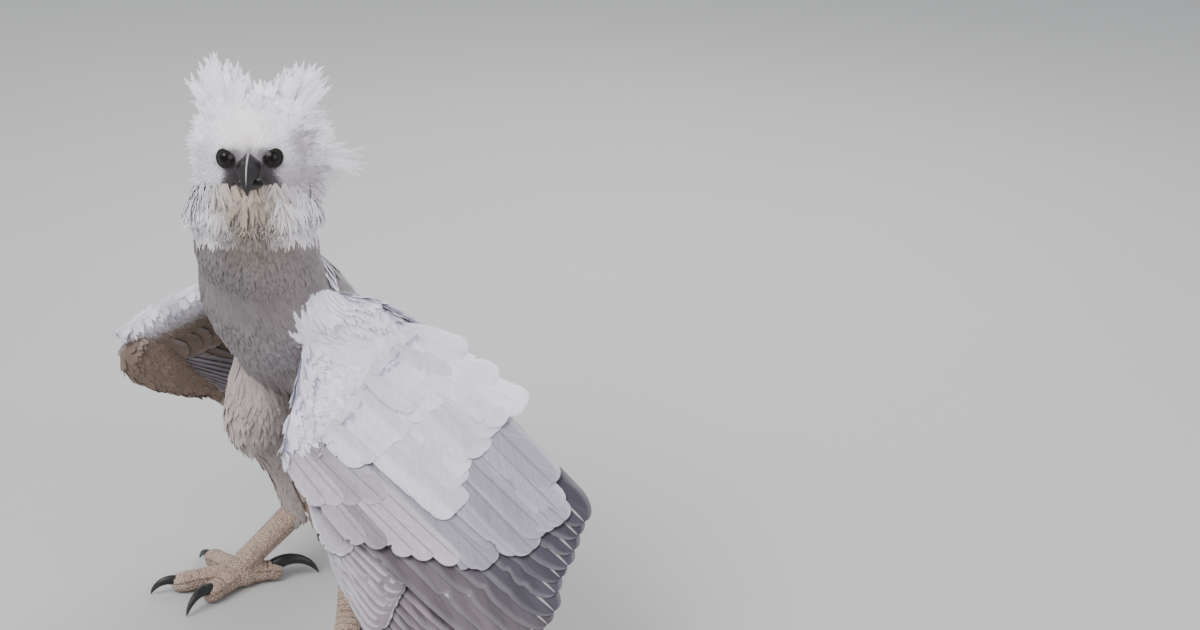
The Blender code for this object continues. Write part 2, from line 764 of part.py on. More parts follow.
def arm_core(wing, grow=0.0):
    """The forearm with the skin fold in front of it."""
    sheet = wing.sheet
    lead_wrist, _ = sheet.place(*wing.lead_wrist, -0.002)
    pairs = []
    for share, behind, half_thickness in wing.arm:
        along = -(FOREARM + ELBOW_REACH) * (1 - share)
        trail, normal = sheet.place(along, behind, 0.0)
        lead = wing.lead_shoulder.lerp(lead_wrist, share)
        chord = (trail - lead).normalized()
        normal = (normal - chord * normal.dot(chord)).normalized()
        pairs.append((lead, trail, normal, half_thickness))
    return blade("arm_core", pairs, 12, grow)


def hand_core(wing, grow=0.0):
    """The hand, from the wrist to the roots of the outer primaries."""
    sheet, pairs = wing.sheet, []
    ahead = wing.hand_direction()
    side = Vector((ahead.y, -ahead.x))
    for share, ahead_of, behind, half_thickness in wing.hand:
        spot = ahead * (0.010 + HAND * share)
        stack = 0.004 - wing.hand_drop - 0.0085 * share
        lead, normal = sheet.place(*(spot + side * ahead_of), stack)
        trail, _ = sheet.place(*(spot - side * behind), stack)
        pairs.append((lead, trail, normal, half_thickness))
    return blade("hand_core", pairs, 10, grow)


def fan(angles, share):
    """An angle between two ends of a fan."""
    return angles[0] + (angles[1] - angles[0]) * share


def arm_feathers(wing, rng):
    """Secondaries and their coverts, from the elbow to the wrist."""
    sheet, vanes = wing.sheet, []
    for index in range(SECONDARIES):
        share = index / (SECONDARIES - 1)
        base = (-(FOREARM + ELBOW_REACH) * (1 - share) + 0.002, -0.002)
        length = SECONDARY_LENGTH * (wing.inner + (1 - wing.inner) * share) * (1 + rng.uniform(-0.012, 0.012))
        vanes.append(feather(sheet, base, fan(wing.secondary_angles, share), length, FLIGHT_HALF_WIDTH,
                             -0.0003 * index, VANE_TILT, wing.bend, FLIGHT_SHAPE))
    tiers = (
        # rows, base out, length, half width, height, tilt
        (10, -0.010, 0.235, 0.023, 0.0060, 0.07),
        (9, -0.020, 0.160, 0.023, 0.0109, 0.06),
    )
    for count, base_out, length, half_width, height, tilt in tiers:
        for index in range(count):
            share = (index + 0.5) / count
            base = (-(FOREARM + ELBOW_REACH) * (1 - share) + 0.004 * share, base_out)
            reach = length * (1.06 - 0.12 * share) * (1 + rng.uniform(-0.04, 0.04))
            vanes.append(feather(sheet, base, fan(wing.secondary_angles, share), reach, half_width,
                                 height - 0.0003 * index, tilt, wing.bend))
    for index in range(5):
        share = index / 4
        base = (-FOREARM - 0.010 + 0.085 * share, -0.028)
        vanes.append(feather(sheet, base, fan(wing.secondary_angles, 0.3 * share), 0.128 - 0.020 * share,
                             0.0215, 0.0152 - 0.0002 * index, 0.04, wing.bend, rise=0.003))
    return vanes


def hand_feathers(wing, rng):
    """Primaries, their coverts and the alula."""
    sheet, vanes = wing.sheet, []
    ahead = wing.hand_direction()
    for index, length in enumerate(PRIMARY_LENGTHS):
        share = index / (PRIMARIES - 1)
        base = ahead * (0.028 + (HAND - 0.022) * share)
        reach = length * (1 + rng.uniform(-0.01, 0.01))
        vanes.append(feather(sheet, tuple(base), fan(wing.primary_angles, share), reach,
                             FLIGHT_HALF_WIDTH * (0.98 - 0.26 * share), -wing.hand_drop - HAND_STEP * index,
                             VANE_TILT, wing.bend, FLIGHT_SHAPE))
    for index in range(7):
        share = index / 6
        base = ahead * (0.022 + (HAND - 0.032) * share)
        vanes.append(feather(sheet, tuple(base), fan(wing.primary_angles, share), 0.150 - 0.035 * share,
                             0.0175, 0.0078 - wing.hand_drop - HAND_STEP * index, 0.05, wing.bend))
    for index in range(3):
        base = ahead * (0.020 + 0.016 * index)
        vanes.append(feather(sheet, tuple(base), wing.primary_angles[1] - math.radians(2 + 2 * index),
                             0.120 - 0.022 * index, 0.0125, 0.0096 - wing.hand_drop + 0.0011 * index, 0.05,
                             wing.bend))
    return vanes


def humerus(wing, grow=0.0):
    """The upper arm with its shoulder feathers."""
    rows = [(x, y, z, radius * 1.0, radius * 0.86) for x, y, z, radius in wing.humerus]
    return tube("humerus", rows, 14, 8, across=Vector((0, 0, 1)), grow=grow)


def build_wing(wing, rng, clear):
    """One wing, in an arm and a hand."""
    arm = arm_core(wing)
    boolean(arm, [humerus(wing), *arm_feathers(wing, rng)], "UNION")
    boolean(arm, [torso(GAP), neck(GAP), hand_core(wing, GAP), *clear(GAP)], "DIFFERENCE")
    node(arm, f"wing_{wing.side}_arm", "mantle")
    hand = hand_core(wing)
    boolean(hand, hand_feathers(wing, rng), "UNION")
    boolean(hand, [arm_core(wing, GAP), *clear(GAP)], "DIFFERENCE")
    node(hand, f"wing_{wing.side}_hand", "flight")


# Tail


def build_tail(rng):
    """The root of the tail with its flight feathers and coverts."""
    turn = Matrix.Rotation(-TAIL_YAW, 3, "Z")
    out = turn @ Vector((0.0, math.cos(TAIL_DIP), -math.sin(TAIL_DIP)))
    upper = turn @ Vector((0.0, math.sin(TAIL_DIP), math.cos(TAIL_DIP)))
    sheet = Sheet(TAIL_BASE, turn @ Vector((1, 0, 0)), out, upper, -0.02, 0.0145)
    rows = [(*(TAIL_BASE + out * along - upper * 0.006), width, height) for along, width, height in
            ((-0.012, 0.034, 0.024), (0.020, 0.036, 0.022), (0.050, 0.032, 0.015), (0.074, 0.020, 0.006))]
    root = tube("tail_root", rows, 14, 6)
    vanes = []
    for index in range(TAIL_FEATHERS):
        pair, side = divmod(index, 2)
        sign = 1 if side else -1
        share = pair / (TAIL_FEATHERS / 2 - 1)
        angle = math.pi / 2 - sign * TAIL_FAN * (0.06 + 0.94 * share) / 2
        length = TAIL_LENGTH * (1 - 0.045 * share) * (1 + rng.uniform(-0.006, 0.006))
        vanes.append(feather(sheet, (sign * (0.003 + 0.017 * share), 0.012), angle, length, TAIL_HALF_WIDTH,
                             -TAIL_STEP * index, 0.0, shape=FLIGHT_SHAPE))
    for index in range(6):
        sign = 1 if index % 2 else -1
        share = (index // 2) / 2
        angle = math.pi / 2 - sign * math.radians(2 + 5 * share)
        vanes.append(feather(sheet, (sign * (0.004 + 0.014 * share), 0.004), angle, 0.150 - 0.020 * share,
                             0.0200, 0.0080 - TAIL_STEP * index, 0.0))
    boolean(root, vanes, "UNION")
    boolean(root, [torso(GAP)], "DIFFERENCE")
    node(root, "tail", "flight")


def settle():
    """Moves the whole bird so that the origin is under the middle of its box, on the floor."""
    nodes = list(collection(OBJECT_NAME).objects)
    corners = [vertex.co for obj in nodes for vertex in obj.data.vertices]
    middle = [(min(c[axis] for c in corners) + max(c[axis] for c in corners)) / 2 for axis in range(2)]
    shift = Matrix.Translation((-middle[0], -middle[1], -min(c.z for c in corners)))
    for obj in nodes:
        obj.data.transform(shift)


def main():
    clear_scene()
    rng = random.Random(SEED)
    node(torso(), "torso", "mantle")
    throat = neck()
    boolean(throat, [torso(GAP)], "DIFFERENCE")
    node(throat, "neck", "mantle")
    build_head(rng)
    build_leg("right", RIGHT_HIP, RIGHT_KNEE, RIGHT_ANKLE, RIGHT_FOOT, RIGHT_HEADING)
    build_leg("left", LEFT_HIP, LEFT_KNEE, LEFT_ANKLE, LEFT_FOOT, LEFT_HEADING)
    build_wing(LEFT_WING, rng, lambda grow: [thigh(LEFT_HIP, LEFT_KNEE, LEFT_ANKLE, grow)])
    build_wing(RIGHT_WING, rng, lambda grow: [thigh(RIGHT_HIP, RIGHT_KNEE, RIGHT_ANKLE, grow)])
    build_tail(rng)
    settle()
    for name in ("pieces", "operands"):
        used = bpy.data.collections.get(name)
        if used:
            bpy.data.collections.remove(used)


main()
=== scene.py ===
"""Looks of the harpy eagle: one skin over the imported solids, and its feathers, scutes, bill, claws and eyes.

Named places are the bird's own, in metres: it looks along -Y, +X is its left and the floor is z = 0.
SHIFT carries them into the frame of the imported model.
"""

import logging
import math
from dataclasses import dataclass, field
from enum import Enum

import bpy
import numpy as np
from mathutils import Matrix, Vector
from mathutils.bvhtree import BVHTree


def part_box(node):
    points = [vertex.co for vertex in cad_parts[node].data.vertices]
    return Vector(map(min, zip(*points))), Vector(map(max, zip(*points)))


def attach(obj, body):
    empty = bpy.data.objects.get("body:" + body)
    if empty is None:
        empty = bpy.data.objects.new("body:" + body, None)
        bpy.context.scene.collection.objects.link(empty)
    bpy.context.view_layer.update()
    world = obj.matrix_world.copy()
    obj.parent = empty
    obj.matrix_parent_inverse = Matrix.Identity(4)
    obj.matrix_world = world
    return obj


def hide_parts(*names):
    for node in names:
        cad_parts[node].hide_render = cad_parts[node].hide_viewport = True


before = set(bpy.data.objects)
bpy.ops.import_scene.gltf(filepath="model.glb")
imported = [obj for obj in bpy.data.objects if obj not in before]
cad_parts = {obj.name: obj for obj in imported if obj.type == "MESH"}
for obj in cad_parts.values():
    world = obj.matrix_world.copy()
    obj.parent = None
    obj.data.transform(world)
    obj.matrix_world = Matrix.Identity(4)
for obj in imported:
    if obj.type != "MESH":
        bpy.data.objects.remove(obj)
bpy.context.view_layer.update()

LOG = logging.getLogger("harpy_eagle")
SEED = 23
Array = np.ndarray

# Head: its middle, its turn to the bird's left, and its raise
HEAD_CENTRE = np.array((0.0269, -0.094, 0.5824))
HEAD_YAW = math.radians(34)
HEAD_PITCH = math.radians(15)
HEAD_TURN = np.array(Matrix.Rotation(HEAD_YAW, 3, "Z") @ Matrix.Rotation(-HEAD_PITCH, 3, "X"))
EYE_RADIUS = 0.0128
EYE_PLACE = np.array((0.0265, 0.0415, 0.001))
# Point between the eyes and over the bill, from which the head's feathers run back
FACE_MIDDLE = (0.0, 0.060, -0.010)
EYE_SHOWN = EYE_PLACE - np.array((0.0022, 0.0, 0.0))


def head_design(places: Array) -> Array:
    """Design places of points of the head, given to its left, forward and up from its middle."""
    return HEAD_CENTRE + (np.asarray(places, float) * (1.0, -1.0, 1.0)) @ HEAD_TURN.T


def frame_shift() -> Array:
    """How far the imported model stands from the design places, read from the left eye."""
    low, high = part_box("eye_left")
    return (np.array(low) + np.array(high)) / 2 - head_design(EYE_PLACE)


SHIFT = frame_shift()


def on_head(places: Array) -> Array:
    """Points of the head in the frame, given to its left, forward and up from its middle."""
    return head_design(places) + SHIFT


def head_vector(side: float, forward: float, up: float) -> Array:
    """A direction on the head in the frame."""
    return HEAD_TURN @ np.array((side, -forward, up), float)


def head_places(points: Array) -> Array:
    """Frame points as (side, forward, up) from the head's middle."""
    return (points - HEAD_CENTRE - SHIFT) @ HEAD_TURN * (1.0, -1.0, 1.0)


# Numbers in arrays


def unit(vectors: Array) -> Array:
    """The vectors at length 1."""
    return vectors / np.maximum(np.linalg.norm(vectors, axis=-1, keepdims=True), 1e-12)


def dots(one: Array, other: Array) -> Array:
    """The dot product of each row with the same row of the other."""
    return np.einsum("ij,ij->i", one, other)


def square_to(vectors: Array, ways: Array) -> Array:
    """The vectors turned square to unit directions, at length 1."""
    return unit(vectors - ways * dots(vectors, ways)[:, None])


def beside(ahead: Array) -> Array:
    """The level direction to the left of a heading."""
    return np.array((-ahead[1], ahead[0], 0.0))


def smooth(values: Array, low: float, high: float) -> Array:
    """A soft step from 0 at low to 1 at high."""
    t = np.clip((values - low) / (high - low), 0.0, 1.0)
    return t * t * (3 - 2 * t)


def spline(rows: Array, places: Array) -> Array:
    """Rows read at places from 0 to 1 along a smooth curve through them.

    Args:
        rows: Rows of values at even places.
        places: Where they are read, from 0 to 1.

    Returns:
        The rows read there.
    """
    rows = np.asarray(rows, float)
    last = len(rows) - 1
    spot = np.clip(places, 0.0, 1.0) * last
    index = np.minimum(spot.astype(int), last - 1)
    t = (spot - index)[:, None]
    a, b = rows[np.maximum(index - 1, 0)], rows[index]
    c, d = rows[index + 1], rows[np.minimum(index + 2, last)]
    return 0.5 * (2 * b + (c - a) * t + (2 * a - 5 * b + 4 * c - d) * t**2 + (3 * b - a - 3 * c + d) * t**3)


def ripple(points: Array, size: float, seed: int) -> Array:
    """A soft mottle from -1 to 1 over points, with patches of about the given size.

    Args:
        points: The points.
        size: Size of the patches.
        seed: Which pattern it is.

    Returns:
        A value for each point.
    """
    rng = np.random.default_rng(seed)
    waves = unit(rng.normal(size=(7, 3))) * (2 * math.pi / size) * rng.uniform(0.6, 1.5, (7, 1))
    return np.sin(points @ waves.T + rng.uniform(0, 6.28, 7)).mean(axis=1) * 1.8


# Meshes


@dataclass
class Shape:
    """A closed triangle mesh as arrays."""

    points: Array
    triangles: Array


def faced_out(points: Array, triangles: Array) -> Array:
    """The triangles of a closed form, turned to face out.

    Args:
        points: The points.
        triangles: Corners of the triangles.

    Returns:
        The triangles, turned where needed.
    """
    corners = points[triangles]
    volume = dots(corners[:, 0], np.cross(corners[:, 1], corners[:, 2])).sum()
    return triangles if volume > 0 else triangles[:, ::-1]


def joined(shapes: list[Shape]) -> Shape:
    """Several shapes as one list of points and triangles.

    Args:
        shapes: The shapes.

    Returns:
        One shape.
    """
    points, triangles, start = [], [], 0
    for shape in shapes:
        points.append(shape.points)
        triangles.append(shape.triangles + start)
        start += len(shape.points)
    return Shape(np.concatenate(points), np.concatenate(triangles))


def mesh_object(name: str, shape: Shape) -> bpy.types.Object:
    """An object of the scene from a shape, shaded smooth.

    Args:
        name: The object's name.
        shape: Its shape.

    Returns:
        The object.
    """
    mesh = bpy.data.meshes.new(name)
    mesh.vertices.add(len(shape.points))
    mesh.vertices.foreach_set("co", np.ascontiguousarray(shape.points, np.float32).ravel())
    corners = np.ascontiguousarray(shape.triangles, np.int32).ravel()
    mesh.loops.add(len(corners))
    mesh.loops.foreach_set("vertex_index", corners)
    mesh.polygons.add(len(shape.triangles))
    mesh.polygons.foreach_set("loop_start", np.arange(0, len(corners), 3, dtype=np.int32))
    mesh.update(calc_edges=True)
    mesh.shade_smooth()
    obj = bpy.data.objects.new(name, mesh)
    bpy.context.scene.collection.objects.link(obj)
    return obj


def paint(obj: bpy.types.Object, colours: Array) -> None:
    """Stores a colour for each point as the attribute that the finishes read.

    Args:
        obj: The object.
        colours: A linear colour for each point.
    """
    layer = obj.data.color_attributes.new("markings", "FLOAT_COLOR", "POINT")
    rgba = np.concatenate([colours, np.ones((len(colours), 1))], axis=1).astype(np.float32)
    layer.data.foreach_set("color", rgba.ravel())


def gathered(items: bpy.types.bpy_prop_collection, name: str, width: int, kind: type = np.float32) -> Array:
    """One property of every item.

    Args:
        items: The items.
        name: The property.
        width: Values of it in each item.
        kind: Type of the values.

    Returns:
        A row for each item.
    """
    found = np.empty(len(items) * width, kind)
    items.foreach_get(name, found)
    return found.reshape(-1, width)


def number(obj: bpy.types.Object, name: str, values: Array) -> None:
    """Stores a number for each point as a named attribute."""
    layer = obj.data.attributes.new(name, "FLOAT", "POINT")
    layer.data.foreach_set("value", values.astype(np.float32))


def uv_map(obj: bpy.types.Object, name: str, corner_uv: Array) -> None:
    """Stores a place on a flat map for each corner."""
    layer = obj.data.uv_layers.new(name=name)
    layer.data.foreach_set("uv", corner_uv.astype(np.float32).ravel())


def loft(rings: Array) -> Shape:
    """A closed shape through rings of points, each end closed by a fan.

    Args:
        rings: Array of (rings, sides, 3).

    Returns:
        The shape, with its faces pointing out.
    """
    count, sides, _ = rings.shape
    step, side = np.meshgrid(np.arange(count - 1), np.arange(sides), indexing="ij")
    a = (step * sides + side).ravel()
    b = (step * sides + (side + 1) % sides).ravel()
    wall = np.concatenate([np.stack([a, b, b + sides], 1), np.stack([a, b + sides, a + sides], 1)])
    around = np.arange(sides)
    beside = (around + 1) % sides
    hub = count * sides
    last = (count - 1) * sides
    first_cap = np.stack([np.full(sides, hub), beside, around], 1)
    last_cap = np.stack([np.full(sides, hub + 1), last + around, last + beside], 1)
    points = np.concatenate([rings.reshape(-1, 3), rings[:1].mean(axis=1), rings[-1:].mean(axis=1)])
    return Shape(points, faced_out(points, np.concatenate([wall, first_cap, last_cap])))


def tube(rows: Array, sides: int, steps: int, across: Array, shrink: float = 0.0) -> Array:
    """Rings of an elliptical tube along rows of (x, y, z, half width, half height).

    Args:
        rows: Stations of the tube in the frame.
        sides: Points in each ring.
        steps: Rings along the tube, less one.
        across: The direction of the half widths.
        shrink: How far the surface lies inside the rows' sizes.

    Returns:
        Array of (rings, sides, 3).
    """
    samples = spline(rows, np.linspace(0, 1, steps + 1))
    centre = samples[:, :3]
    ahead = unit(np.gradient(centre, axis=0))
    up = unit(np.cross(ahead, across))
    side = np.cross(up, ahead)
    turn = 2 * math.pi * (np.arange(sides) + 0.5) / sides
    wide = np.maximum(samples[:, 3] - shrink, 0.0005)[:, None, None]
    tall = np.maximum(samples[:, 4] - shrink, 0.0005)[:, None, None]
    rings = centre[:, None] + side[:, None] * wide * np.cos(turn)[None, :, None]
    return rings + up[:, None] * tall * np.sin(turn)[None, :, None]


# Finishes
BAR_TINT = (0.30, 0.28, 0.29)
EDGE_TONE = (0.86, 0.84, 0.90)
JOINT_DIRT = (0.50, 0.42, 0.36)
WORN_HORN = (0.22, 0.21, 0.22)
PUPIL = (0.002, 0.002, 0.002)
IRIS_TONES = ((0.006, 0.005, 0.005), (0.026, 0.018, 0.015))
EYE_RIM = (0.012, 0.010, 0.010)
FLOOR_TONES = ((0.46, 0.46, 0.455), (0.50, 0.50, 0.495))


def socket(tree: bpy.types.NodeTree, name: str, output: bool, kind: str = "NodeSocketFloat") -> None:
    """Adds a named socket to a shader group."""
    tree.interface.new_socket(name, in_out="OUTPUT" if output else "INPUT", socket_type=kind)


class Nodes:
    """A short way to lay shader nodes in a tree and link them."""

    def __init__(self, tree: bpy.types.NodeTree) -> None:
        """Starts on an existing tree."""
        self.tree = tree

    def add(self, kind: str, inputs: dict | None = None, **settings: object) -> bpy.types.Node:
        """Adds a node.

        Args:
            kind: The node's type without its Shader Node prefix.
            inputs: Values or sockets for its inputs, by name or number.
            **settings: Properties of the node.

        Returns:
            The node.
        """
        node = self.tree.nodes.new("ShaderNode" + kind)
        for key, value in settings.items():
            setattr(node, key, value)
        self.feed(node, inputs or {})
        return node

    def feed(self, node: bpy.types.Node, inputs: dict) -> None:
        """Sets inputs of a node to values or sockets.

        Args:
            node: The node.
            inputs: Values or sockets, by the input's name or number.
        """
        for key, value in inputs.items():
            if isinstance(value, bpy.types.NodeSocket):
                self.tree.links.new(value, node.inputs[key])
            else:
                node.inputs[key].default_value = value

    def math(self, operation: str, a: object, b: object = 0.0, clamp: bool = False) -> bpy.types.NodeSocket:
        """The result of a sum of two numbers or sockets."""
        return self.add("Math", {0: a, 1: b}, operation=operation, use_clamp=clamp).outputs[0]

    def mix(self, factor: object, a: object, b: object, blend: str = "MIX") -> bpy.types.NodeSocket:
        """A blend of two colours.

        Args:
            factor: Share of the second.
            a: The first colour.
            b: The second colour.
            blend: How they blend.

        Returns:
            The blended colour.
        """
        node = self.tree.nodes.new("ShaderNodeMix")
        node.data_type, node.blend_type = "RGBA", blend
        a, b = (tone if isinstance(tone, bpy.types.NodeSocket) else (*tone[:3], 1.0) for tone in (a, b))
        self.feed(node, {0: factor, 6: a, 7: b})
        return node.outputs[2]

    def step(self, value: object, low: float, high: float) -> bpy.types.NodeSocket:
        """A soft step of a value from 0 to 1."""
        inputs = {"Value": value, "From Min": low, "From Max": high}
        return self.add("MapRange", inputs, interpolation_type="SMOOTHSTEP").outputs[0]


def vane_marks_group() -> bpy.types.NodeTree:
    """The shader group for what every feather shows: shaft, barbs, splits of tone and its edge.

    Returns:
        The group, which reads a place on the vane and puts out masks and a height.
    """
    found = bpy.data.node_groups.get("vane_marks")
    if found:
        return found
    tree = bpy.data.node_groups.new("vane_marks", "ShaderNodeTree")
    socket(tree, "Place", False, "NodeSocketVector")
    for name in ("Chance", "Barbs", "Bars"):
        socket(tree, name, False)
    for name in ("Shaft", "Streak", "Edge", "Bar", "Height"):
        socket(tree, name, True)
    nodes = Nodes(tree)
    inputs = tree.nodes.new("NodeGroupInput")
    outputs = tree.nodes.new("NodeGroupOutput")
    parts = nodes.add("SeparateXYZ", {0: inputs.outputs["Place"]})
    off = nodes.math("MULTIPLY", nodes.math("ABSOLUTE", nodes.math("SUBTRACT", parts.outputs[0], 0.5)), 2.0)
    along = parts.outputs[1]
    slant = nodes.math("SUBTRACT", along, nodes.math("MULTIPLY", off, 0.11))
    seed = nodes.math("MULTIPLY", inputs.outputs["Chance"], 31.0)
    barb_place = nodes.add("CombineXYZ", {0: nodes.math("MULTIPLY", off, 0.9),
                                          1: nodes.math("MULTIPLY", slant, inputs.outputs["Barbs"]), 2: seed})
    barbs = nodes.add("TexNoise", {"Vector": barb_place.outputs[0], "Scale": 1.0, "Detail": 3.0,
                                   "Roughness": 0.62}).outputs["Fac"]
    cloud_place = nodes.add("CombineXYZ", {0: nodes.math("MULTIPLY", off, 1.4),
                                           1: nodes.math("MULTIPLY", slant, 5.0), 2: seed})
    cloud = nodes.add("TexNoise", {"Vector": cloud_place.outputs[0], "Scale": 1.0,
                                   "Detail": 2.0}).outputs["Fac"]
    streak = nodes.math("ADD", nodes.math("MULTIPLY", barbs, 0.6), nodes.math("MULTIPLY", cloud, 0.4))
    shaft = nodes.math("SUBTRACT", 1.0, nodes.step(off, 0.03, 0.10))
    edge = nodes.step(nodes.math("ADD", off, nodes.math("MULTIPLY", nodes.math("SUBTRACT", cloud, 0.5), 0.4)),
                      0.62, 0.98)
    wander = nodes.math("MULTIPLY", nodes.math("SUBTRACT", cloud, 0.5), 0.9)
    phase = nodes.math("ADD", nodes.math("MULTIPLY", slant, inputs.outputs["Bars"]), wander)
    phase = nodes.math("ADD", phase, inputs.outputs["Chance"])
    wave = nodes.math("SINE", nodes.math("MULTIPLY", phase, 6.2832))
    bar = nodes.step(wave, -0.25, 0.45)
    height = nodes.math("ADD", nodes.math("MULTIPLY", barbs, 0.5), nodes.math("MULTIPLY", shaft, 0.6))
    for name, value in (("Shaft", shaft), ("Streak", streak), ("Edge", edge), ("Bar", bar),
                        ("Height", height)):
        tree.links.new(value, outputs.inputs[name])
    return tree


def new_material(name: str) -> tuple[bpy.types.Material, Nodes, bpy.types.Node]:
    """A material with its tree and its Principled shader.

    Args:
        name: The material's name.

    Returns:
        The material, its nodes and the shader.
    """
    material = bpy.data.materials.new(name)
    material.use_nodes = True
    return material, Nodes(material.node_tree), material.node_tree.nodes["Principled BSDF"]


def bump(nodes: Nodes, shader: bpy.types.Node, height: bpy.types.NodeSocket, distance: float,
         strength: float = 1.0) -> None:
    """Feeds a height over the surface to the shader's normal."""
    node = nodes.add("Bump", {"Height": height, "Distance": distance, "Strength": strength})
    nodes.tree.links.new(node.outputs[0], shader.inputs["Normal"])


@dataclass(frozen=True)
class FeatherFinish:
    """Matt feathers that take their ground colour from the markings.

    Attributes:
        name: Name of the material.
        barbs: Streaks along one feather.
        bars: Dark bars along one feather.
        bar_strength: How dark the bars are.
        streak_strength: How much the barbs vary the tone.
        edge_light: How much paler the edges are.
        shaft_share: How much the shaft shows.
        shaft: Colour of the shaft.
        base_dark: Painted shade: how much darker a feather is toward its root, where others lie over it.
        roughness: Roughness of the vane.
    """

    name: str
    barbs: float = 40.0
    bars: float = 4.0
    bar_strength: float = 0.0
    streak_strength: float = 0.5
    edge_light: float = 0.15
    shaft_share: float = 0.1
    shaft: tuple[float, float, float] = (0.80, 0.76, 0.74)
    base_dark: float = 0.35
    roughness: float = 0.82

    def material(self) -> bpy.types.Material:
        """The material, built once.

        Returns:
            The material.
        """
        found = bpy.data.materials.get(self.name)
        if found:
            return found
        material, nodes, shader = new_material(self.name)
        ground = nodes.add("Attribute", attribute_name="markings").outputs["Color"]
        chance = nodes.add("Attribute", attribute_name="chance").outputs["Fac"]
        place = nodes.add("UVMap", uv_map="Vane").outputs[0]
        marks = nodes.add("Group", node_tree=vane_marks_group())
        nodes.feed(marks, {"Place": place, "Chance": chance, "Barbs": self.barbs, "Bars": self.bars})
        along = nodes.add("SeparateXYZ", {0: place}).outputs[1]
        tone = nodes.math("MULTIPLY", nodes.math("SUBTRACT", marks.outputs["Streak"], 0.5),
                          self.streak_strength * 2)
        tone = nodes.math("ADD", tone, nodes.math("MULTIPLY", nodes.math("SUBTRACT", chance, 0.5), 0.16))
        # Painted shade: each feather darkens toward its root
        root = nodes.math("MULTIPLY", nodes.math("SUBTRACT", 1.0, nodes.step(along, 0.05, 0.6)),
                          -self.base_dark)
        tone = nodes.math("ADD", nodes.math("ADD", tone, root), 1.0)
        grey = nodes.add("CombineColor", {0: tone, 1: tone, 2: tone}).outputs[0]
        colour = nodes.mix(1.0, ground, grey, "MULTIPLY")
        if self.bar_strength:
            inked = nodes.mix(1.0, colour, BAR_TINT, "MULTIPLY")
            colour = nodes.mix(nodes.math("MULTIPLY", marks.outputs["Bar"], self.bar_strength), colour, inked)
        colour = nodes.mix(nodes.math("MULTIPLY", marks.outputs["Edge"], self.edge_light), colour, EDGE_TONE)
        quill = nodes.math("MULTIPLY", marks.outputs["Shaft"], self.shaft_share)
        colour = nodes.mix(quill, colour, self.shaft)
        nodes.feed(shader, {"Base Color": colour, "Roughness": self.roughness, "Sheen Weight": 0.12,
                            "Sheen Roughness": 0.5, "Specular IOR Level": 0.25})
        bump(nodes, shader, marks.outputs["Height"], 0.0007, 0.6)
        return material


class Finish(Enum):
    """The feather finishes of the bird."""

    DOWN = FeatherFinish("soft_down", barbs=9.0, streak_strength=0.16, edge_light=0.05, shaft_share=0.0,
                         base_dark=0.10, roughness=0.9)
    CONTOUR = FeatherFinish("contour_feather", barbs=22.0, streak_strength=0.22, edge_light=0.14,
                            shaft_share=0.05, base_dark=0.14)
    COVERT = FeatherFinish("small_covert", barbs=34.0, streak_strength=0.34, edge_light=0.40,
                           shaft_share=0.14, shaft=(0.36, 0.34, 0.42), base_dark=0.08)
    LESSER = FeatherFinish("lesser_covert", barbs=16.0, streak_strength=0.16, edge_light=0.14,
                           shaft_share=0.0, base_dark=0.05, roughness=0.9)
    GREATER = FeatherFinish("greater_covert", barbs=44.0, streak_strength=0.46, edge_light=0.24,
                            shaft_share=0.55, shaft=(0.16, 0.15, 0.20), base_dark=0.12)
    SECONDARY = FeatherFinish("secondary_feather", barbs=70.0, bars=5.0, bar_strength=0.25,
                              streak_strength=0.50, edge_light=0.12, shaft_share=0.40, base_dark=0.1,
                              roughness=0.6)
    PRIMARY = FeatherFinish("primary_feather", barbs=80.0, bars=7.0, bar_strength=0.5, streak_strength=0.7,
                            edge_light=0.22, shaft_share=0.40, base_dark=0.1, roughness=0.62)
    TAIL = FeatherFinish("tail_feather", barbs=70.0, bars=4.5, bar_strength=0.8, streak_strength=0.4,
                         edge_light=0.16, shaft_share=0.4, base_dark=0.1, roughness=0.62)


@dataclass(frozen=True)
class SkinFinish:
    """Skin with the same markings as the coat, downy between the feathers and scaly on the bare legs."""

    name: str = "feathered_skin"

    def material(self) -> bpy.types.Material:
        """The material.

        Returns:
            The material.
        """
        material, nodes, shader = new_material(self.name)
        ground = nodes.add("Attribute", attribute_name="markings").outputs["Color"]
        place = nodes.add("TexCoord").outputs["Object"]
        down = nodes.add("TexNoise", {"Vector": place, "Scale": 420.0, "Detail": 3.0}).outputs["Fac"]
        tone = nodes.math("ADD", nodes.math("MULTIPLY", down, 0.4), 0.72)
        grey = nodes.add("CombineColor", {0: tone, 1: tone, 2: tone}).outputs[0]
        bare = nodes.add("Attribute", attribute_name="bare").outputs["Fac"]
        cells = nodes.add("TexVoronoi", {"Vector": place, "Scale": 300.0}, feature="DISTANCE_TO_EDGE")
        joints = nodes.step(cells.outputs["Distance"], 0.02, 0.16)
        scaly = nodes.mix(joints, nodes.mix(1.0, ground, JOINT_DIRT, "MULTIPLY"), ground)
        colour = nodes.mix(bare, nodes.mix(1.0, ground, grey, "MULTIPLY"), scaly)
        rough = nodes.math("SUBTRACT", 0.9, nodes.math("MULTIPLY", bare, 0.25))
        nodes.feed(shader, {"Base Color": colour, "Roughness": rough})
        height = nodes.add("Mix", {0: bare, 2: down, 3: joints}, data_type="FLOAT").outputs[0]
        bump(nodes, shader, height, 0.0008)
        return material


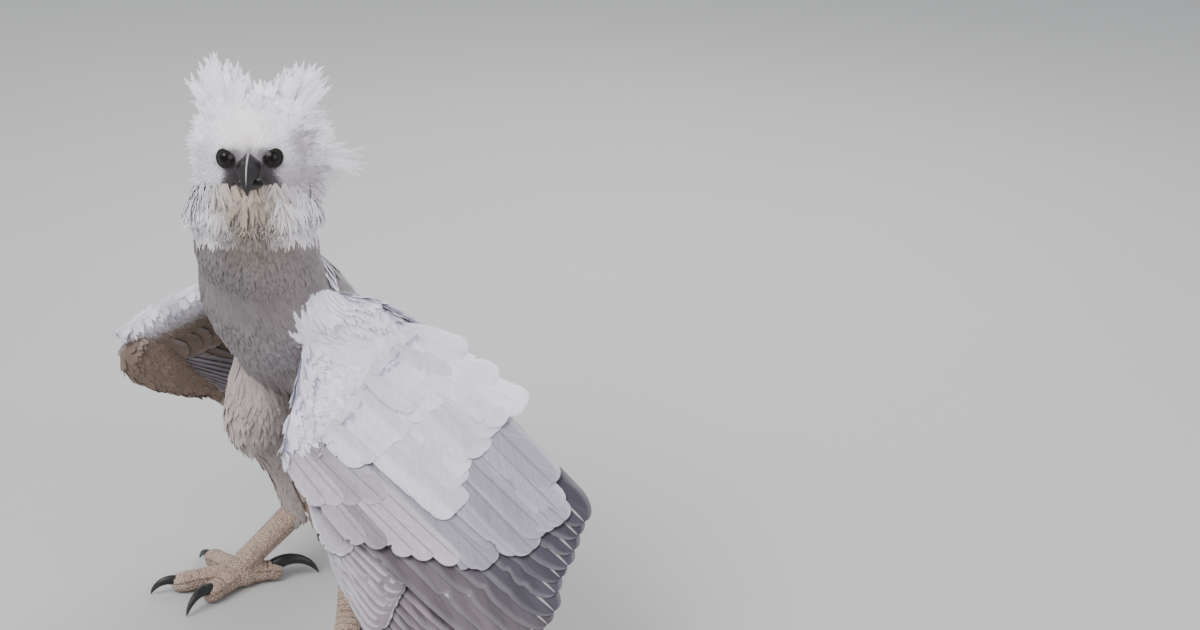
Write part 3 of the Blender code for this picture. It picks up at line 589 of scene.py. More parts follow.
@dataclass(frozen=True)
class HornFinish:
    """Dark horn with growth streaks and worn, paler scratches."""

    name: str
    roughness: float = 0.32
    stretch: tuple[float, float, float] = (160.0, 160.0, 40.0)

    def material(self) -> bpy.types.Material:
        """The material.

        Returns:
            The material.
        """
        material, nodes, shader = new_material(self.name)
        ground = nodes.add("Attribute", attribute_name="markings").outputs["Color"]
        place = nodes.add("TexCoord").outputs["Object"]
        scaled = nodes.add("Mapping", {"Vector": place, "Scale": self.stretch}).outputs[0]
        grain = nodes.add("TexNoise", {"Vector": scaled, "Scale": 1.0, "Detail": 4.0}).outputs["Fac"]
        fine = nodes.add("TexNoise", {"Vector": place, "Scale": 900.0, "Detail": 2.0}).outputs["Fac"]
        worn = nodes.step(grain, 0.56, 0.78)
        colour = nodes.mix(nodes.math("MULTIPLY", worn, 0.35), ground, WORN_HORN)
        rough = nodes.math("ADD", nodes.math("MULTIPLY", grain, 0.3), self.roughness - 0.12)
        nodes.feed(shader, {"Base Color": colour, "Specular IOR Level": 0.35, "Roughness": rough})
        height = nodes.math("ADD", nodes.math("MULTIPLY", grain, 0.7), nodes.math("MULTIPLY", fine, 0.3))
        bump(nodes, shader, height, 0.0005, 0.5)
        return material


@dataclass(frozen=True)
class ScuteFinish:
    """Dry cream-yellow leg scales with dirt in the joints."""

    name: str = "leg_scale"

    def material(self) -> bpy.types.Material:
        """The material.

        Returns:
            The material.
        """
        material, nodes, shader = new_material(self.name)
        ground = nodes.add("Attribute", attribute_name="markings").outputs["Color"]
        place = nodes.add("TexCoord").outputs["Object"]
        cells = nodes.add("TexVoronoi", {"Vector": place, "Scale": 380.0}, feature="DISTANCE_TO_EDGE")
        joints = nodes.step(cells.outputs["Distance"], 0.02, 0.16)
        cloud = nodes.add("TexNoise", {"Vector": place, "Scale": 60.0, "Detail": 4.0}).outputs["Fac"]
        dirty = nodes.mix(1.0, ground, JOINT_DIRT, "MULTIPLY")
        colour = nodes.mix(joints, dirty, ground)
        colour = nodes.mix(nodes.math("MULTIPLY", nodes.step(cloud, 0.5, 0.75), 0.45), colour, dirty)
        rough = nodes.math("SUBTRACT", 0.72, nodes.math("MULTIPLY", joints, 0.2))
        nodes.feed(shader, {"Base Color": colour, "Roughness": rough})
        bump(nodes, shader, joints, 0.0006, 0.8)
        return material


@dataclass(frozen=True)
class EyeFinish:
    """A wet dark eye: pupil, brown iris with fine spokes, and dark white of the eye."""

    name: str = "wet_eye"

    def material(self) -> bpy.types.Material:
        """The material, which reads the angle from the eye's axis.

        Returns:
            The material.
        """
        material, nodes, shader = new_material(self.name)
        angle = nodes.add("Attribute", attribute_name="gaze").outputs["Fac"]
        place = nodes.add("TexCoord").outputs["Object"]
        spokes = nodes.add("TexNoise", {"Vector": place, "Scale": 700.0, "Detail": 3.0}).outputs["Fac"]
        iris = nodes.mix(spokes, *IRIS_TONES)
        colour = nodes.mix(nodes.step(angle, 0.42, 0.52), PUPIL, iris)
        colour = nodes.mix(nodes.step(angle, 0.74, 0.86), colour, EYE_RIM)
        nodes.feed(shader, {"Base Color": colour, "Roughness": 0.22, "Specular IOR Level": 0.12,
                            "Coat Weight": 0.22, "Coat Roughness": 0.05})
        return material


@dataclass(frozen=True)
class FloorFinish:
    """Plain pale studio floor."""

    name: str = "pale_floor"

    def material(self) -> bpy.types.Material:
        """The material.

        Returns:
            The material.
        """
        material, nodes, shader = new_material(self.name)
        place = nodes.add("TexCoord").outputs["Object"]
        cloud = nodes.add("TexNoise", {"Vector": place, "Scale": 1.2, "Detail": 2.0}).outputs["Fac"]
        colour = nodes.mix(cloud, *FLOOR_TONES)
        nodes.feed(shader, {"Base Color": colour, "Roughness": 0.85})
        return material


# Feathers as arrays


@dataclass
class Plumage:
    """Feathers gathered into one piece of the coat.

    Attributes:
        name: The piece's name.
        finish: Its finish.
        slot: Not used.
        strips: Whether each feather has a long strip of the bake map and not a patch at its root.
        soft: How far the feathers take their shading from the form under them.
    """

    name: str
    finish: Finish
    slot: str
    strips: bool = False
    soft: float = 0.0
    parts: list[tuple[Array, ...]] = field(default_factory=list)
    count: int = 0
    feathers: int = 0

    def add(self, points: Array, triangles: Array, vane: Array, roots: Array, colours: Array,
            chance: Array, ups: Array | None = None) -> None:
        """Adds feathers of one form.

        Args:
            points: Array of (feathers, points, 3).
            triangles: Corners of one feather's triangles.
            vane: Place of each point across and along the vane, as (points, 2).
            roots: Root of each feather.
            colours: Ground colour of each feather.
            chance: A number from 0 to 1 for each feather.
            ups: Direction away from the form under each feather.
        """
        if not len(points):
            return
        ups = np.zeros((len(points), 3)) if ups is None else ups
        feathers, each, _ = points.shape
        start = self.count + np.arange(feathers)[:, None, None] * each
        triangles = faced_out(points[0], triangles)
        self.parts.append((points.reshape(-1, 3), (triangles[None] + start).reshape(-1, 3),
                           np.tile(vane, (feathers, 1)), np.repeat(roots, each, axis=0),
                           np.repeat(colours, each, axis=0), np.repeat(chance, each),
                           np.repeat(self.feathers + np.arange(feathers), each),
                           np.repeat(ups, each, axis=0)))
        self.count += feathers * each
        self.feathers += feathers

    def build(self, skin: "Skin") -> bpy.types.Object:
        """Makes the piece.

        Args:
            skin: The skin, whose unwrap places the roots.

        Returns:
            The piece, riding on the body.
        """
        columns = (np.concatenate(column) for column in zip(*self.parts))
        points, triangles, vane, roots, colours, chance, index, ups = columns
        obj = mesh_object(self.name, Shape(points, triangles))
        corners = triangles.ravel()
        if self.soft:
            spots = points[triangles]
            faces = np.repeat(unit(np.cross(spots[:, 1] - spots[:, 0], spots[:, 2] - spots[:, 0])), 3, axis=0)
            over = dots(faces, ups[corners])[:, None]
            base = np.where(over > 0, gathered(obj.data.vertices, "normal", 3)[corners], faces)
            eased = unit(base * (1 - self.soft) + ups[corners] * self.soft * np.sign(over))
            obj.data.normals_split_custom_set(eased.tolist())
        if self.strips:
            across = (index + 0.08 + 0.84 * vane[:, 0]) / self.feathers
            bake = np.stack([across, 0.02 + 0.96 * vane[:, 1]], axis=1)
        else:
            bake = skin.patch_map(roots, vane)
        uv_map(obj, "OFBake", bake[corners])
        uv_map(obj, "Vane", vane[corners])
        paint(obj, colours)
        number(obj, "chance", chance)
        obj.data.materials.append(self.finish.value.material())
        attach(obj, "root")
        LOG.info("%s: %d triangles", self.name, len(triangles))
        return obj


def blade_triangles(rings: int, sides: int) -> Array:
    """Triangles of a closed blade of small rings that ends in one point.

    Args:
        rings: Rings along the blade.
        sides: Points in a ring.

    Returns:
        The triangles.
    """
    faces = []
    for ring in range(rings - 1):
        for side in range(sides):
            a, b = ring * sides + side, ring * sides + (side + 1) % sides
            faces += [(a, b, b + sides), (a, b + sides, a + sides)]
    last, tip = (rings - 1) * sides, rings * sides
    faces += [(last + side, last + (side + 1) % sides, tip) for side in range(sides)]
    faces += [(0, side + 1, side) for side in range(1, sides - 1)]
    return np.array(faces)


@dataclass(frozen=True)
class BladeForm:
    """The form of a small feather or a wisp.

    Attributes:
        widths: Shares of the half width at even places from the root, before the tip.
        camber: How far the edges lie under the middle, as a share of the half width.
        thickness: Thickness at the middle, as a share of the half width.
        sides: Points in a ring: left, top, right and, with four, the underside.
        crowd: Under 1, the rings stand closer to the tip, which rounds it.
    """

    widths: tuple[float, ...]
    camber: float = 0.25
    thickness: float = 0.12
    sides: int = 3
    crowd: float = 1.0

    def grow(self, roots: Array, along: Array, normal: Array, length: Array, half_width: Array,
             lift: Array, droop: Array, sway: Array) -> tuple[Array, Array, Array]:
        """Blades that rise from their roots and bend back to the coat.

        Args:
            roots: Roots of the blades.
            along: Directions in which they lie.
            normal: Directions away from the skin.
            length: Lengths.
            half_width: Half widths.
            lift: Angles over the skin at the root.
            droop: How far that angle falls from root to tip.
            sway: How far they turn sideways from root to tip.

        Returns:
            Points of (blades, points, 3), triangles of one blade, and vane places of its points.
        """
        rings = len(self.widths)
        side = unit(np.cross(along, normal))
        places = np.linspace(0, 1, rings + 1) ** self.crowd
        middle = (places[:-1] + places[1:]) / 2

        def heading(place: Array) -> tuple[Array, Array]:
            """Forward and upward directions at places along the blades.

            Args:
                place: Places along a blade.

            Returns:
                Both directions at each place.
            """
            rise = lift[:, None] - droop[:, None] * place[None]
            turn = sway[:, None] * place[None]
            level = along[:, None] * np.cos(turn)[..., None] + side[:, None] * np.sin(turn)[..., None]
            forward = level * np.cos(rise)[..., None] + normal[:, None] * np.sin(rise)[..., None]
            return forward, normal[:, None] * np.cos(rise)[..., None] - level * np.sin(rise)[..., None]

        forward, _ = heading(middle)
        steps = np.cumsum(forward * np.diff(places)[:, None] * length[:, None, None], axis=1)
        track = roots[:, None] + np.concatenate([np.zeros_like(steps[:, :1]), steps], axis=1)
        ahead, up = heading(places[:-1])
        across = unit(np.cross(ahead, up))
        wide = half_width[:, None, None] * np.array(self.widths)[None, :, None]
        centre = track[:, :-1]
        edge = centre - up * wide * self.camber
        ring = [edge - across * wide, centre + up * wide * self.thickness, edge + across * wide,
                centre - up * wide * self.thickness][:self.sides]
        points = np.stack(ring, axis=2).reshape(len(roots), rings * self.sides, 3)
        points = np.concatenate([points, track[:, -1:]], axis=1)
        across_vane = (0.0, 0.5, 1.0, 0.5)[:self.sides]
        vane = np.array([(u, place) for place in places[:-1] for u in across_vane] + [(0.5, 1.0)])
        return points, blade_triangles(rings, self.sides), vane


WISP = BladeForm((0.9, 1.0, 0.6), camber=0.1, thickness=0.5)
SOFT = BladeForm((0.50, 1.0, 0.92), camber=0.10, thickness=0.10, crowd=0.70)
ROUND = BladeForm((0.40, 0.88, 1.0, 0.98, 0.88, 0.62), camber=0.10, thickness=0.05, sides=4, crowd=0.75)


class Sheet:
    """The curved surface that a wing or the tail lies on.

    A point is given along the arm, out to the feather tips, and up from the sheet.
    """

    SOFT_FLOOR = 0.014
    STEP = 0.002

    def __init__(self, origin: Array, along: Array, out: Array, upper: Array, droop: float,
                 low: float) -> None:
        """Sets the sheet's place, its three directions, its sag and its least height.

        Args:
            origin: The wrist.
            along: Direction along the arm.
            out: Direction of the feather tips.
            upper: Direction away from the upper side.
            droop: Sag of the feathers.
            low: Least height over the floor.
        """
        self.origin = np.asarray(origin, float) + SHIFT
        self.along = unit(np.asarray(along, float))
        upper = np.asarray(upper, float)
        self.upper = unit(upper - self.along * (upper @ self.along))
        out = np.asarray(out, float)
        out = out - self.along * (out @ self.along)
        self.out = unit(out - self.upper * (out @ self.upper))
        self.droop, self.low = droop, low

    def surface(self, along: Array, out: Array) -> Array:
        """Points of the sheet itself, eased level where they near the floor.

        Args:
            along: Places along the arm.
            out: Places out from the arm.

        Returns:
            Points on the sheet.
        """
        sag = self.droop * np.maximum(out, 0.0) ** 2
        points = self.origin + along[..., None] * self.along + out[..., None] * self.out
        points = points - self.upper * sag[..., None]
        rise = (points[..., 2] - self.low) / self.SOFT_FLOOR
        points[..., 2] = self.low + self.SOFT_FLOOR * np.logaddexp(0.0, rise)
        return points

    def place(self, along: Array, out: Array, height: Array) -> tuple[Array, Array]:
        """Points at heights over the sheet, and the sheet's normals there.

        Args:
            along: Places along the arm.
            out: Places out from the arm.
            height: Heights over the sheet.

        Returns:
            The points and the sheet's normals there.
        """
        along, out = np.broadcast_arrays(np.asarray(along, float), np.asarray(out, float))
        here = self.surface(along, out)
        slope = self.surface(along + self.STEP, out) - here
        fall = self.surface(along, out + self.STEP) - here
        normal = unit(np.cross(slope, fall))
        normal = normal * np.where((normal @ self.upper)[..., None] < 0, -1.0, 1.0)
        return here + normal * np.asarray(height)[..., None], normal

    def direction(self, angle: float) -> Array:
        """The direction in the sheet at an angle from the arm."""
        return self.along * math.cos(angle) + self.out * math.sin(angle)


@dataclass(frozen=True)
class VaneForm:
    """The form of a large feather that lies on a sheet.

    Attributes:
        outline: Places along the feather and the share of its half width there.
        near: Share of the half width on the side near the body.
        far: Share of the half width on the far side, which lies higher.
        sweep: How far barbs run to the tip, for each half width.
        camber: How far the shaft stands over the edges, as a share of the half width.
        rows: Steps along the feather.
        splits: Splits of the vane on each side.
        depth: How deep the splits go.
        fray: How uneven the edge is.
        blunt: Length of the rounded end against the half width.
        columns: Steps across each half of the vane.
        thickness: Thickness at the shaft.
        floor: Least heights of the upper and under side over the floor.
    """

    outline: tuple[tuple[float, float], ...]
    near: float = 1.0
    far: float = 1.0
    sweep: float = 0.7
    camber: float = 0.06
    rows: int = 24
    splits: int = 2
    depth: float = 0.45
    fray: float = 0.03
    blunt: float = 1.1
    columns: int = 3
    thickness: float = 0.0007
    floor: tuple[float, float] = (0.0006, 0.0002)

    def triangles(self) -> Array:
        """Triangles of one closed vane.

        Returns:
            The triangles.
        """
        across = 2 * self.columns + 1
        layer = (self.rows + 1) * across
        row, column = np.meshgrid(np.arange(self.rows), np.arange(across - 1), indexing="ij")
        a = (row * across + column).ravel()
        b, c, d = a + 1, a + across + 1, a + across
        top = np.concatenate([np.stack([a, b, c], 1), np.stack([a, c, d], 1)])
        under = top[:, ::-1] + layer
        rim = np.concatenate([np.arange(across), np.arange(1, self.rows + 1) * across + across - 1,
                              self.rows * across + np.arange(across - 2, -1, -1),
                              np.arange(self.rows - 1, 0, -1) * across])
        after = np.roll(rim, -1)
        wall = np.concatenate([np.stack([rim, rim + layer, after + layer], 1),
                               np.stack([rim, after + layer, after], 1)])
        return np.concatenate([top, under, wall])

    def grow(self, sheet: Sheet, base: Array, angle: Array, length: Array, half_width: Array, height: Array,
             tilt: float, bend: float, rng: np.random.Generator, rise: float = 0.0) -> tuple:
        """Vanes on a sheet.

        Args:
            sheet: The sheet that they lie on.
            base: Roots on the sheet, as (feathers, 2).
            angle: Directions on the sheet.
            length: Lengths.
            half_width: Half widths.
            height: Heights over the sheet.
            tilt: How much higher the far edge lies, for each half width.
            bend: How far each feather curves in the sheet.
            rng: Source of the small differences.
            rise: How much higher the root lies.

        Returns:
            Points of (feathers, points, 3), triangles of one, vane places of its points, and roots.
        """
        count, rows = len(base), self.rows
        t = 1 - (1 - np.linspace(0, 1, rows + 1)) ** 1.6
        turn = angle[:, None] + bend * t[None]
        heading = np.stack([np.cos(turn), np.sin(turn)], axis=-1)
        steps = (heading[:, 1:] + heading[:, :-1]) / 2 * np.diff(t)[:, None] * length[:, None, None]
        track = base[:, None] + np.concatenate([np.zeros((count, 1, 2)), np.cumsum(steps, axis=1)], axis=1)
        places, shares = zip(*self.outline)
        past = np.clip((t - 1) * (length / (self.blunt * half_width))[:, None] + 1, 0, 1)
        widths = np.interp(t, places, shares) * np.sqrt(1.004 - past**2)
        sides = widths[..., None] * (1 + rng.uniform(-self.fray, self.fray, (count, rows + 1, 2)))
        for _ in range(self.splits):
            spot = rng.uniform(0.30, 0.97, (count, 1, 2))
            deep = self.depth * rng.uniform(0.15, 1.0, (count, 1, 2)) ** 2
            sides = sides * (1 - deep * np.clip(1 - np.abs(t[None, :, None] - spot) * rows, 0, 1))
        u = np.linspace(-1, 1, 2 * self.columns + 1)
        share = np.where(u < 0, sides[..., :1] * self.near, sides[..., 1:] * self.far)
        half = share * half_width[:, None, None]
        offset = u * half
        forward = np.abs(offset) * self.sweep * np.minimum(t * 4, 1)[None, :, None]
        forward = forward - (half_width * self.sweep * 0.35)[:, None, None] * t[None, :, None]
        across = np.stack([np.sin(turn), -np.cos(turn)], axis=-1)
        flat = (track[:, :, None] + across[:, :, None] * offset[..., None]
                + heading[:, :, None] * forward[..., None])
        level = height[:, None, None] + tilt * offset + rise * ((1 - t) ** 2)[None, :, None]
        level = level + self.camber * half_width[:, None, None] * (1 - np.abs(u)) * widths[..., None]
        points, normal = sheet.place(flat[..., 0], flat[..., 1], level)
        skin = self.thickness * (1 - 0.6 * np.abs(u)) / 2
        top, under = points + normal * skin[..., None], points - normal * skin[..., None]
        whole = np.concatenate([top.reshape(count, -1, 3), under.reshape(count, -1, 3)], axis=1)
        least = np.repeat(self.floor, whole.shape[1] // 2)
        whole[..., 2] = np.maximum(whole[..., 2], least[None])
        place = np.stack(np.broadcast_arrays((u[None] + 1) / 2, t[:, None]), axis=-1).reshape(-1, 2)
        return whole, self.triangles(), np.concatenate([place, place]), points[:, 0, self.columns]


# Trunk and limbs under the skin


@dataclass(frozen=True)
class Limb:
    """One smooth form under the skin, and how the feathers over it lie.

    Attributes:
        name: The part of the body.
        rows: Stations as (x, y, z, half width, half height).
        across: Direction of the half widths.
        lie: Direction of the feathers, or None for along the limb.
        depth: Depth of the coat over it.
        sides: Points round it.
    """

    name: str
    rows: tuple[tuple[float, ...], ...]
    across: tuple[float, float, float] = (1.0, 0.0, 0.0)
    lie: tuple[float, float, float] | None = None
    depth: float = 0.006
    sides: int = 24

    def stations(self) -> Array:
        """The rows in the frame.

        Returns:
            The stations.
        """
        rows = np.array(self.rows, float)
        rows[:, :3] += SHIFT
        return rows

    def shape(self) -> Shape:
        """The closed form, inside the solid by the coat's depth."""
        steps = 4 * len(self.rows)
        return loft(tube(self.stations(), self.sides, steps, np.array(self.across), self.depth))

    def reach(self, points: Array) -> tuple[Array, Array]:
        """How far points are from the limb's surface, and the lie of the coat there.

        Args:
            points: Points near the skin.

        Returns:
            Distances, less than 0 inside, and directions along the limb.
        """
        rows = spline(self.stations(), np.linspace(0, 1, 3 * len(self.rows)))
        start, end = rows[:-1, :3], rows[1:, :3]
        span = end - start
        best = np.full(len(points), np.inf)
        lie = np.zeros_like(points)
        for index in range(len(span)):
            t = np.clip((points - start[index]) @ span[index] / max(span[index] @ span[index], 1e-12), 0, 1)
            near = start[index] + t[:, None] * span[index]
            size = (rows[index, 3:] * (1 - t[:, None]) + rows[index + 1, 3:] * t[:, None]).mean(axis=1)
            away = np.linalg.norm(points - near, axis=1) - size
            closer = away < best
            best = np.where(closer, away, best)
            lie[closer] = span[index]
        if self.lie is not None:
            lie[:] = self.lie
        return best, unit(lie)


# Half widths and places of the trunk, the same as in the solids
TORSO_STATIONS = ((0.146, 0.226, 0.014, 0.012), (0.130, 0.240, 0.042, 0.034), (0.092, 0.262, 0.066, 0.056),
                  (0.040, 0.302, 0.087, 0.077), (-0.010, 0.346, 0.095, 0.085), (-0.048, 0.394, 0.094, 0.082),
                  (-0.072, 0.436, 0.085, 0.070), (-0.086, 0.470, 0.064, 0.050), (-0.094, 0.492, 0.022, 0.018))
NECK_STATIONS = ((-0.070, 0.430, 0.084, 0.066), (-0.082, 0.470, 0.088, 0.072), (-0.086, 0.505, 0.084, 0.072),
                 (-0.084, 0.540, 0.076, 0.067), (-0.080, 0.568, 0.054, 0.050), (-0.078, 0.584, 0.020, 0.020))
NECK_LEAN = (0.008, 0.028)
HEAD_STATIONS = ((-0.074, -0.004, 0.014, 0.014), (-0.062, -0.003, 0.042, 0.040),
                 (-0.036, -0.002, 0.064, 0.060), (-0.004, -0.002, 0.070, 0.064),
                 (0.022, -0.003, 0.062, 0.058), (0.037, -0.004, 0.050, 0.047),
                 (0.046, -0.006, 0.034, 0.034), (0.051, -0.008, 0.010, 0.010))
LEG_PLACES = {
    "right": ((-0.046, -0.004, 0.300), (-0.032, -0.044, 0.232), (-0.0125, -0.008, 0.085),
              (-0.0530, -0.070, 0.024)),
    "left": ((0.052, -0.010, 0.300), (0.088, -0.062, 0.226), (0.138, -0.078, 0.100), (0.182, -0.156, 0.024)),
}
LEG_HEADINGS = {"right": math.radians(-42), "left": math.radians(14)}
THIGH_RADII = (0.034, 0.047, 0.040, 0.029, 0.0200, 0.0185)
SHIN_SHARES = (0.0, 0.2, 0.4, 0.62, 1.0)
TARSUS_RADII = (0.0170, 0.0162, 0.0152, 0.0160)
TOE_RADIUS = 0.0132
SOLE_SINK = 0.0020
# Toes as (name, degrees from the foot's heading, length, claw length, claw radius)
TOES = (("hallux", 178, 0.052, 0.066, 0.0088), ("inner", -42, 0.066, 0.056, 0.0080),
        ("middle", 0, 0.086, 0.044, 0.0070), ("outer", 62, 0.070, 0.038, 0.0062))
TOE_SHAPE = ((0.0, 0.006, 1.12), (0.22, 0.003, 1.00), (0.42, 0.002, 1.06), (0.62, 0.002, 0.94),
             (0.80, 0.000, 1.00), (0.94, -0.001, 0.80), (1.0, -0.001, 0.50))
PAD_RADIUS = 0.0200
PAD_HEIGHT = 0.0125
FOREARM = 0.185
ELBOW_REACH = 0.014
HAND = 0.124


def head_rows() -> tuple[tuple[float, ...], ...]:
    """Stations of the head as design rows."""
    return tuple((*head_design((0, forward, up)), wide, tall) for forward, up, wide, tall in HEAD_STATIONS)


def lean_rows() -> tuple[tuple[float, ...], ...]:
    """Stations of the neck as design rows, from the head down.

    Returns:
        Rows of (x, y, z, half width, half depth).
    """
    rows = []
    for index, (y, z, wide, deep) in enumerate(NECK_STATIONS):
        share = index / (len(NECK_STATIONS) - 1)
        rows.append((NECK_LEAN[0] + (NECK_LEAN[1] - NECK_LEAN[0]) * share, y, z, wide, deep))
    return tuple(reversed(rows))


def trunk_rows() -> tuple[tuple[float, ...], ...]:
    """Stations of the trunk as design rows, from the neck to the rump."""
    return tuple((0.0, *station) for station in reversed(TORSO_STATIONS))


def thigh_rows(side: str) -> tuple[tuple[float, ...], ...]:
    """Stations of a feathered leg as design rows.

    Args:
        side: left or right.

    Returns:
        Rows of (x, y, z, half width, half depth).
    """
    hip, knee, ankle, _ = (np.array(place) for place in LEG_PLACES[side])
    rows = [(*hip, THIGH_RADII[0] * 1.25, THIGH_RADII[0] * 1.25)]
    for share, radius in zip(SHIN_SHARES, THIGH_RADII[1:]):
        rows.append((*(knee + (ankle - knee) * share), radius, radius))
    return tuple(rows)


def tarsus_rows(side: str) -> tuple[tuple[float, ...], ...]:
    """Stations of a bare shank as design rows.

    Args:
        side: left or right.

    Returns:
        Rows of (x, y, z, half width, half depth).
    """
    _, _, ankle, foot = (np.array(place) for place in LEG_PLACES[side])
    start = ankle + (ankle - foot) * 0.06
    return tuple((*(start + (foot - start) * share), radius, radius)
                 for share, radius in zip((0.0, 0.34, 0.70, 1.0), TARSUS_RADII))


def toe_heading(side: str, degrees: float) -> Array:
    """The level direction of a toe."""
    turn = LEG_HEADINGS[side] + (1 if side == "left" else -1) * math.radians(degrees)
    return np.array((math.sin(turn), -math.cos(turn), 0.0))


def toe_rows(side: str, degrees: float, length: float) -> tuple[tuple[float, ...], ...]:
    """Stations of a toe as design rows.

    Args:
        side: left or right.
        degrees: Angle from straight ahead.
        length: Length.

    Returns:
        Rows of (x, y, z, half width, half height).
    """
    foot = np.array(LEG_PLACES[side][3])
    ahead = toe_heading(side, degrees)
    rows = []
    for share, height, radius in TOE_SHAPE:
        x, y, _ = foot + ahead * (length * share)
        rows.append((x, y, TOE_RADIUS - SOLE_SINK + height, TOE_RADIUS * radius, TOE_RADIUS * radius))
    return tuple(rows)


@dataclass(frozen=True)
class WingPlan:
    """Sizes and place of one wing, the same as in the solids.

    Attributes:
        side: left or right.
        lead_shoulder: Where the fold of skin starts at the shoulder.
        elbow: The elbow.
        wrist: The wrist.
        out: Direction of the feather tips.
        upper: Direction away from the upper side.
        droop: Sag of the feathers.
        low: Least height of the sheet.
        hand: Angle of the hand in degrees.
        primaries: Angles of the innermost and outermost primary.
        secondaries: Angles of the innermost and outermost secondary.
        bend: Curve of each feather in degrees.
        hand_drop: How far the hand lies under the sheet.
        inner: Length of the innermost secondary as a share.
        lead_wrist: The fold of skin at the wrist, on the sheet.
        arm: The forearm as (share, width behind, half thickness).
        palm: The hand as (share, width ahead, width behind, half thickness).
        humerus: The upper arm as (x, y, z, radius).
        lined: Whether the underside shows, with its rows of coverts.
    """

    side: str
    lead_shoulder: tuple[float, float, float]
    elbow: tuple[float, float, float]
    wrist: tuple[float, float, float]
    out: tuple[float, float, float]
    upper: tuple[float, float, float]
    droop: float
    low: float
    hand: float
    primaries: tuple[float, float]
    secondaries: tuple[float, float]
    bend: float
    hand_drop: float
    inner: float
    lead_wrist: tuple[float, float]
    arm: tuple[tuple[float, float, float], ...]
    palm: tuple[tuple[float, float, float, float], ...]
    humerus: tuple[tuple[float, float, float, float], ...]
    lined: bool = False

    def sheet(self) -> Sheet:
        """The surface that the wing's feathers lie on."""
        along = np.array(self.wrist) - np.array(self.elbow)
        return Sheet(self.wrist, along, self.out, self.upper, self.droop, self.low)

    def hand_direction(self) -> Array:
        """The hand's direction on the sheet."""
        return np.array((math.cos(math.radians(self.hand)), math.sin(math.radians(self.hand))))

    def arm_rings(self, depth: float, sides: int = 24) -> Array:
        """Rings of the forearm with the fold of skin in front of it.

        Args:
            depth: How far the skin lies inside the solid.
            sides: Points in a ring.

        Returns:
            Array of (rings, sides, 3).
        """
        sheet = self.sheet()
        wrist = sheet.place(*self.lead_wrist, -0.002)[0]
        shoulder = np.array(self.lead_shoulder) + SHIFT
        rows = spline(self.arm, np.linspace(0, 1, 16))
        leads = shoulder + (wrist - shoulder) * rows[:, :1]
        trails, normals = sheet.place(-(FOREARM + ELBOW_REACH) * (1 - rows[:, 0]), rows[:, 1], 0.0)
        return blade_rings(leads, trails, normals, rows[:, 2], depth, sides)

    def palm_rings(self, depth: float, sides: int = 20) -> Array:
        """Rings of the hand, from the wrist to the outer primaries.

        Args:
            depth: How far the skin lies inside the solid.
            sides: Points in a ring.

        Returns:
            Array of (rings, sides, 3).
        """
        sheet, ahead = self.sheet(), self.hand_direction()
        across = np.array((ahead[1], -ahead[0]))
        rows = spline(self.palm, np.linspace(0, 1, 14))
        spot = ahead * (0.010 + HAND * rows[:, :1])
        stack = 0.004 - self.hand_drop - 0.0085 * rows[:, 0]
        lead = spot + across * rows[:, 1:2]
        trail = spot - across * rows[:, 2:3]
        leads, normals = sheet.place(lead[:, 0], lead[:, 1], stack)
        trails, _ = sheet.place(trail[:, 0], trail[:, 1], stack)
        return blade_rings(leads, trails, normals, rows[:, 3], depth, sides)


def blade_rings(leads: Array, trails: Array, normals: Array, thick: Array, depth: float, sides: int) -> Array:
    """Rings of flat ellipses between leading and trailing points.

    Args:
        leads: Points of the front edge.
        trails: Points of the back edge.
        normals: Directions of the upper side.
        thick: Half thickness of each ring.
        depth: How far the skin lies inside the solid.
        sides: Points in a ring.

    Returns:
        Array of (rings, sides, 3).
    """
    chord = trails - leads
    ahead = unit(chord)
    normals = square_to(normals, ahead)
    turn = 2 * math.pi * (np.arange(sides) + 0.5) / sides
    half = np.maximum(np.linalg.norm(chord, axis=1) / 2 - depth, 0.001)[:, None, None]
    flat = np.maximum(thick - depth, 0.001)[:, None, None]
    centre = ((leads + trails) / 2)[:, None]
    return centre + ahead[:, None] * half * np.cos(turn)[None, :, None] + (
        normals[:, None] * flat * np.sin(turn)[None, :, None])


LEFT_WING = WingPlan(
    side="left", lead_shoulder=(0.066, -0.070, 0.372), elbow=(0.149, -0.001, 0.356),
    wrist=(0.117, -0.150, 0.251),
    out=(0.958, -0.003, -0.288), upper=(0.230, -0.594, 0.771), droop=0.06, low=0.010, hand=58,
    primaries=(80, 64), secondaries=(74, 80), bend=4, hand_drop=0.016, inner=0.90, lead_wrist=(0.014, -0.020),
    arm=((0.0, 0.024, 0.0200), (0.2, 0.023, 0.0185), (0.45, 0.021, 0.0165), (0.7, 0.020, 0.0145),
         (0.9, 0.019, 0.0130), (1.0, 0.018, 0.0070)),
    palm=((0.0, 0.020, 0.019, 0.0130), (0.25, 0.019, 0.0165, 0.0120), (0.6, 0.015, 0.013, 0.0100),
          (0.9, 0.010, 0.010, 0.0082), (1.06, 0.008, 0.0085, 0.0072)),
    humerus=((0.030, -0.088, 0.388, 0.030), (0.085, -0.054, 0.384, 0.038), (0.135, 0.002, 0.362, 0.032),
             (0.160, 0.026, 0.342, 0.016)),
)
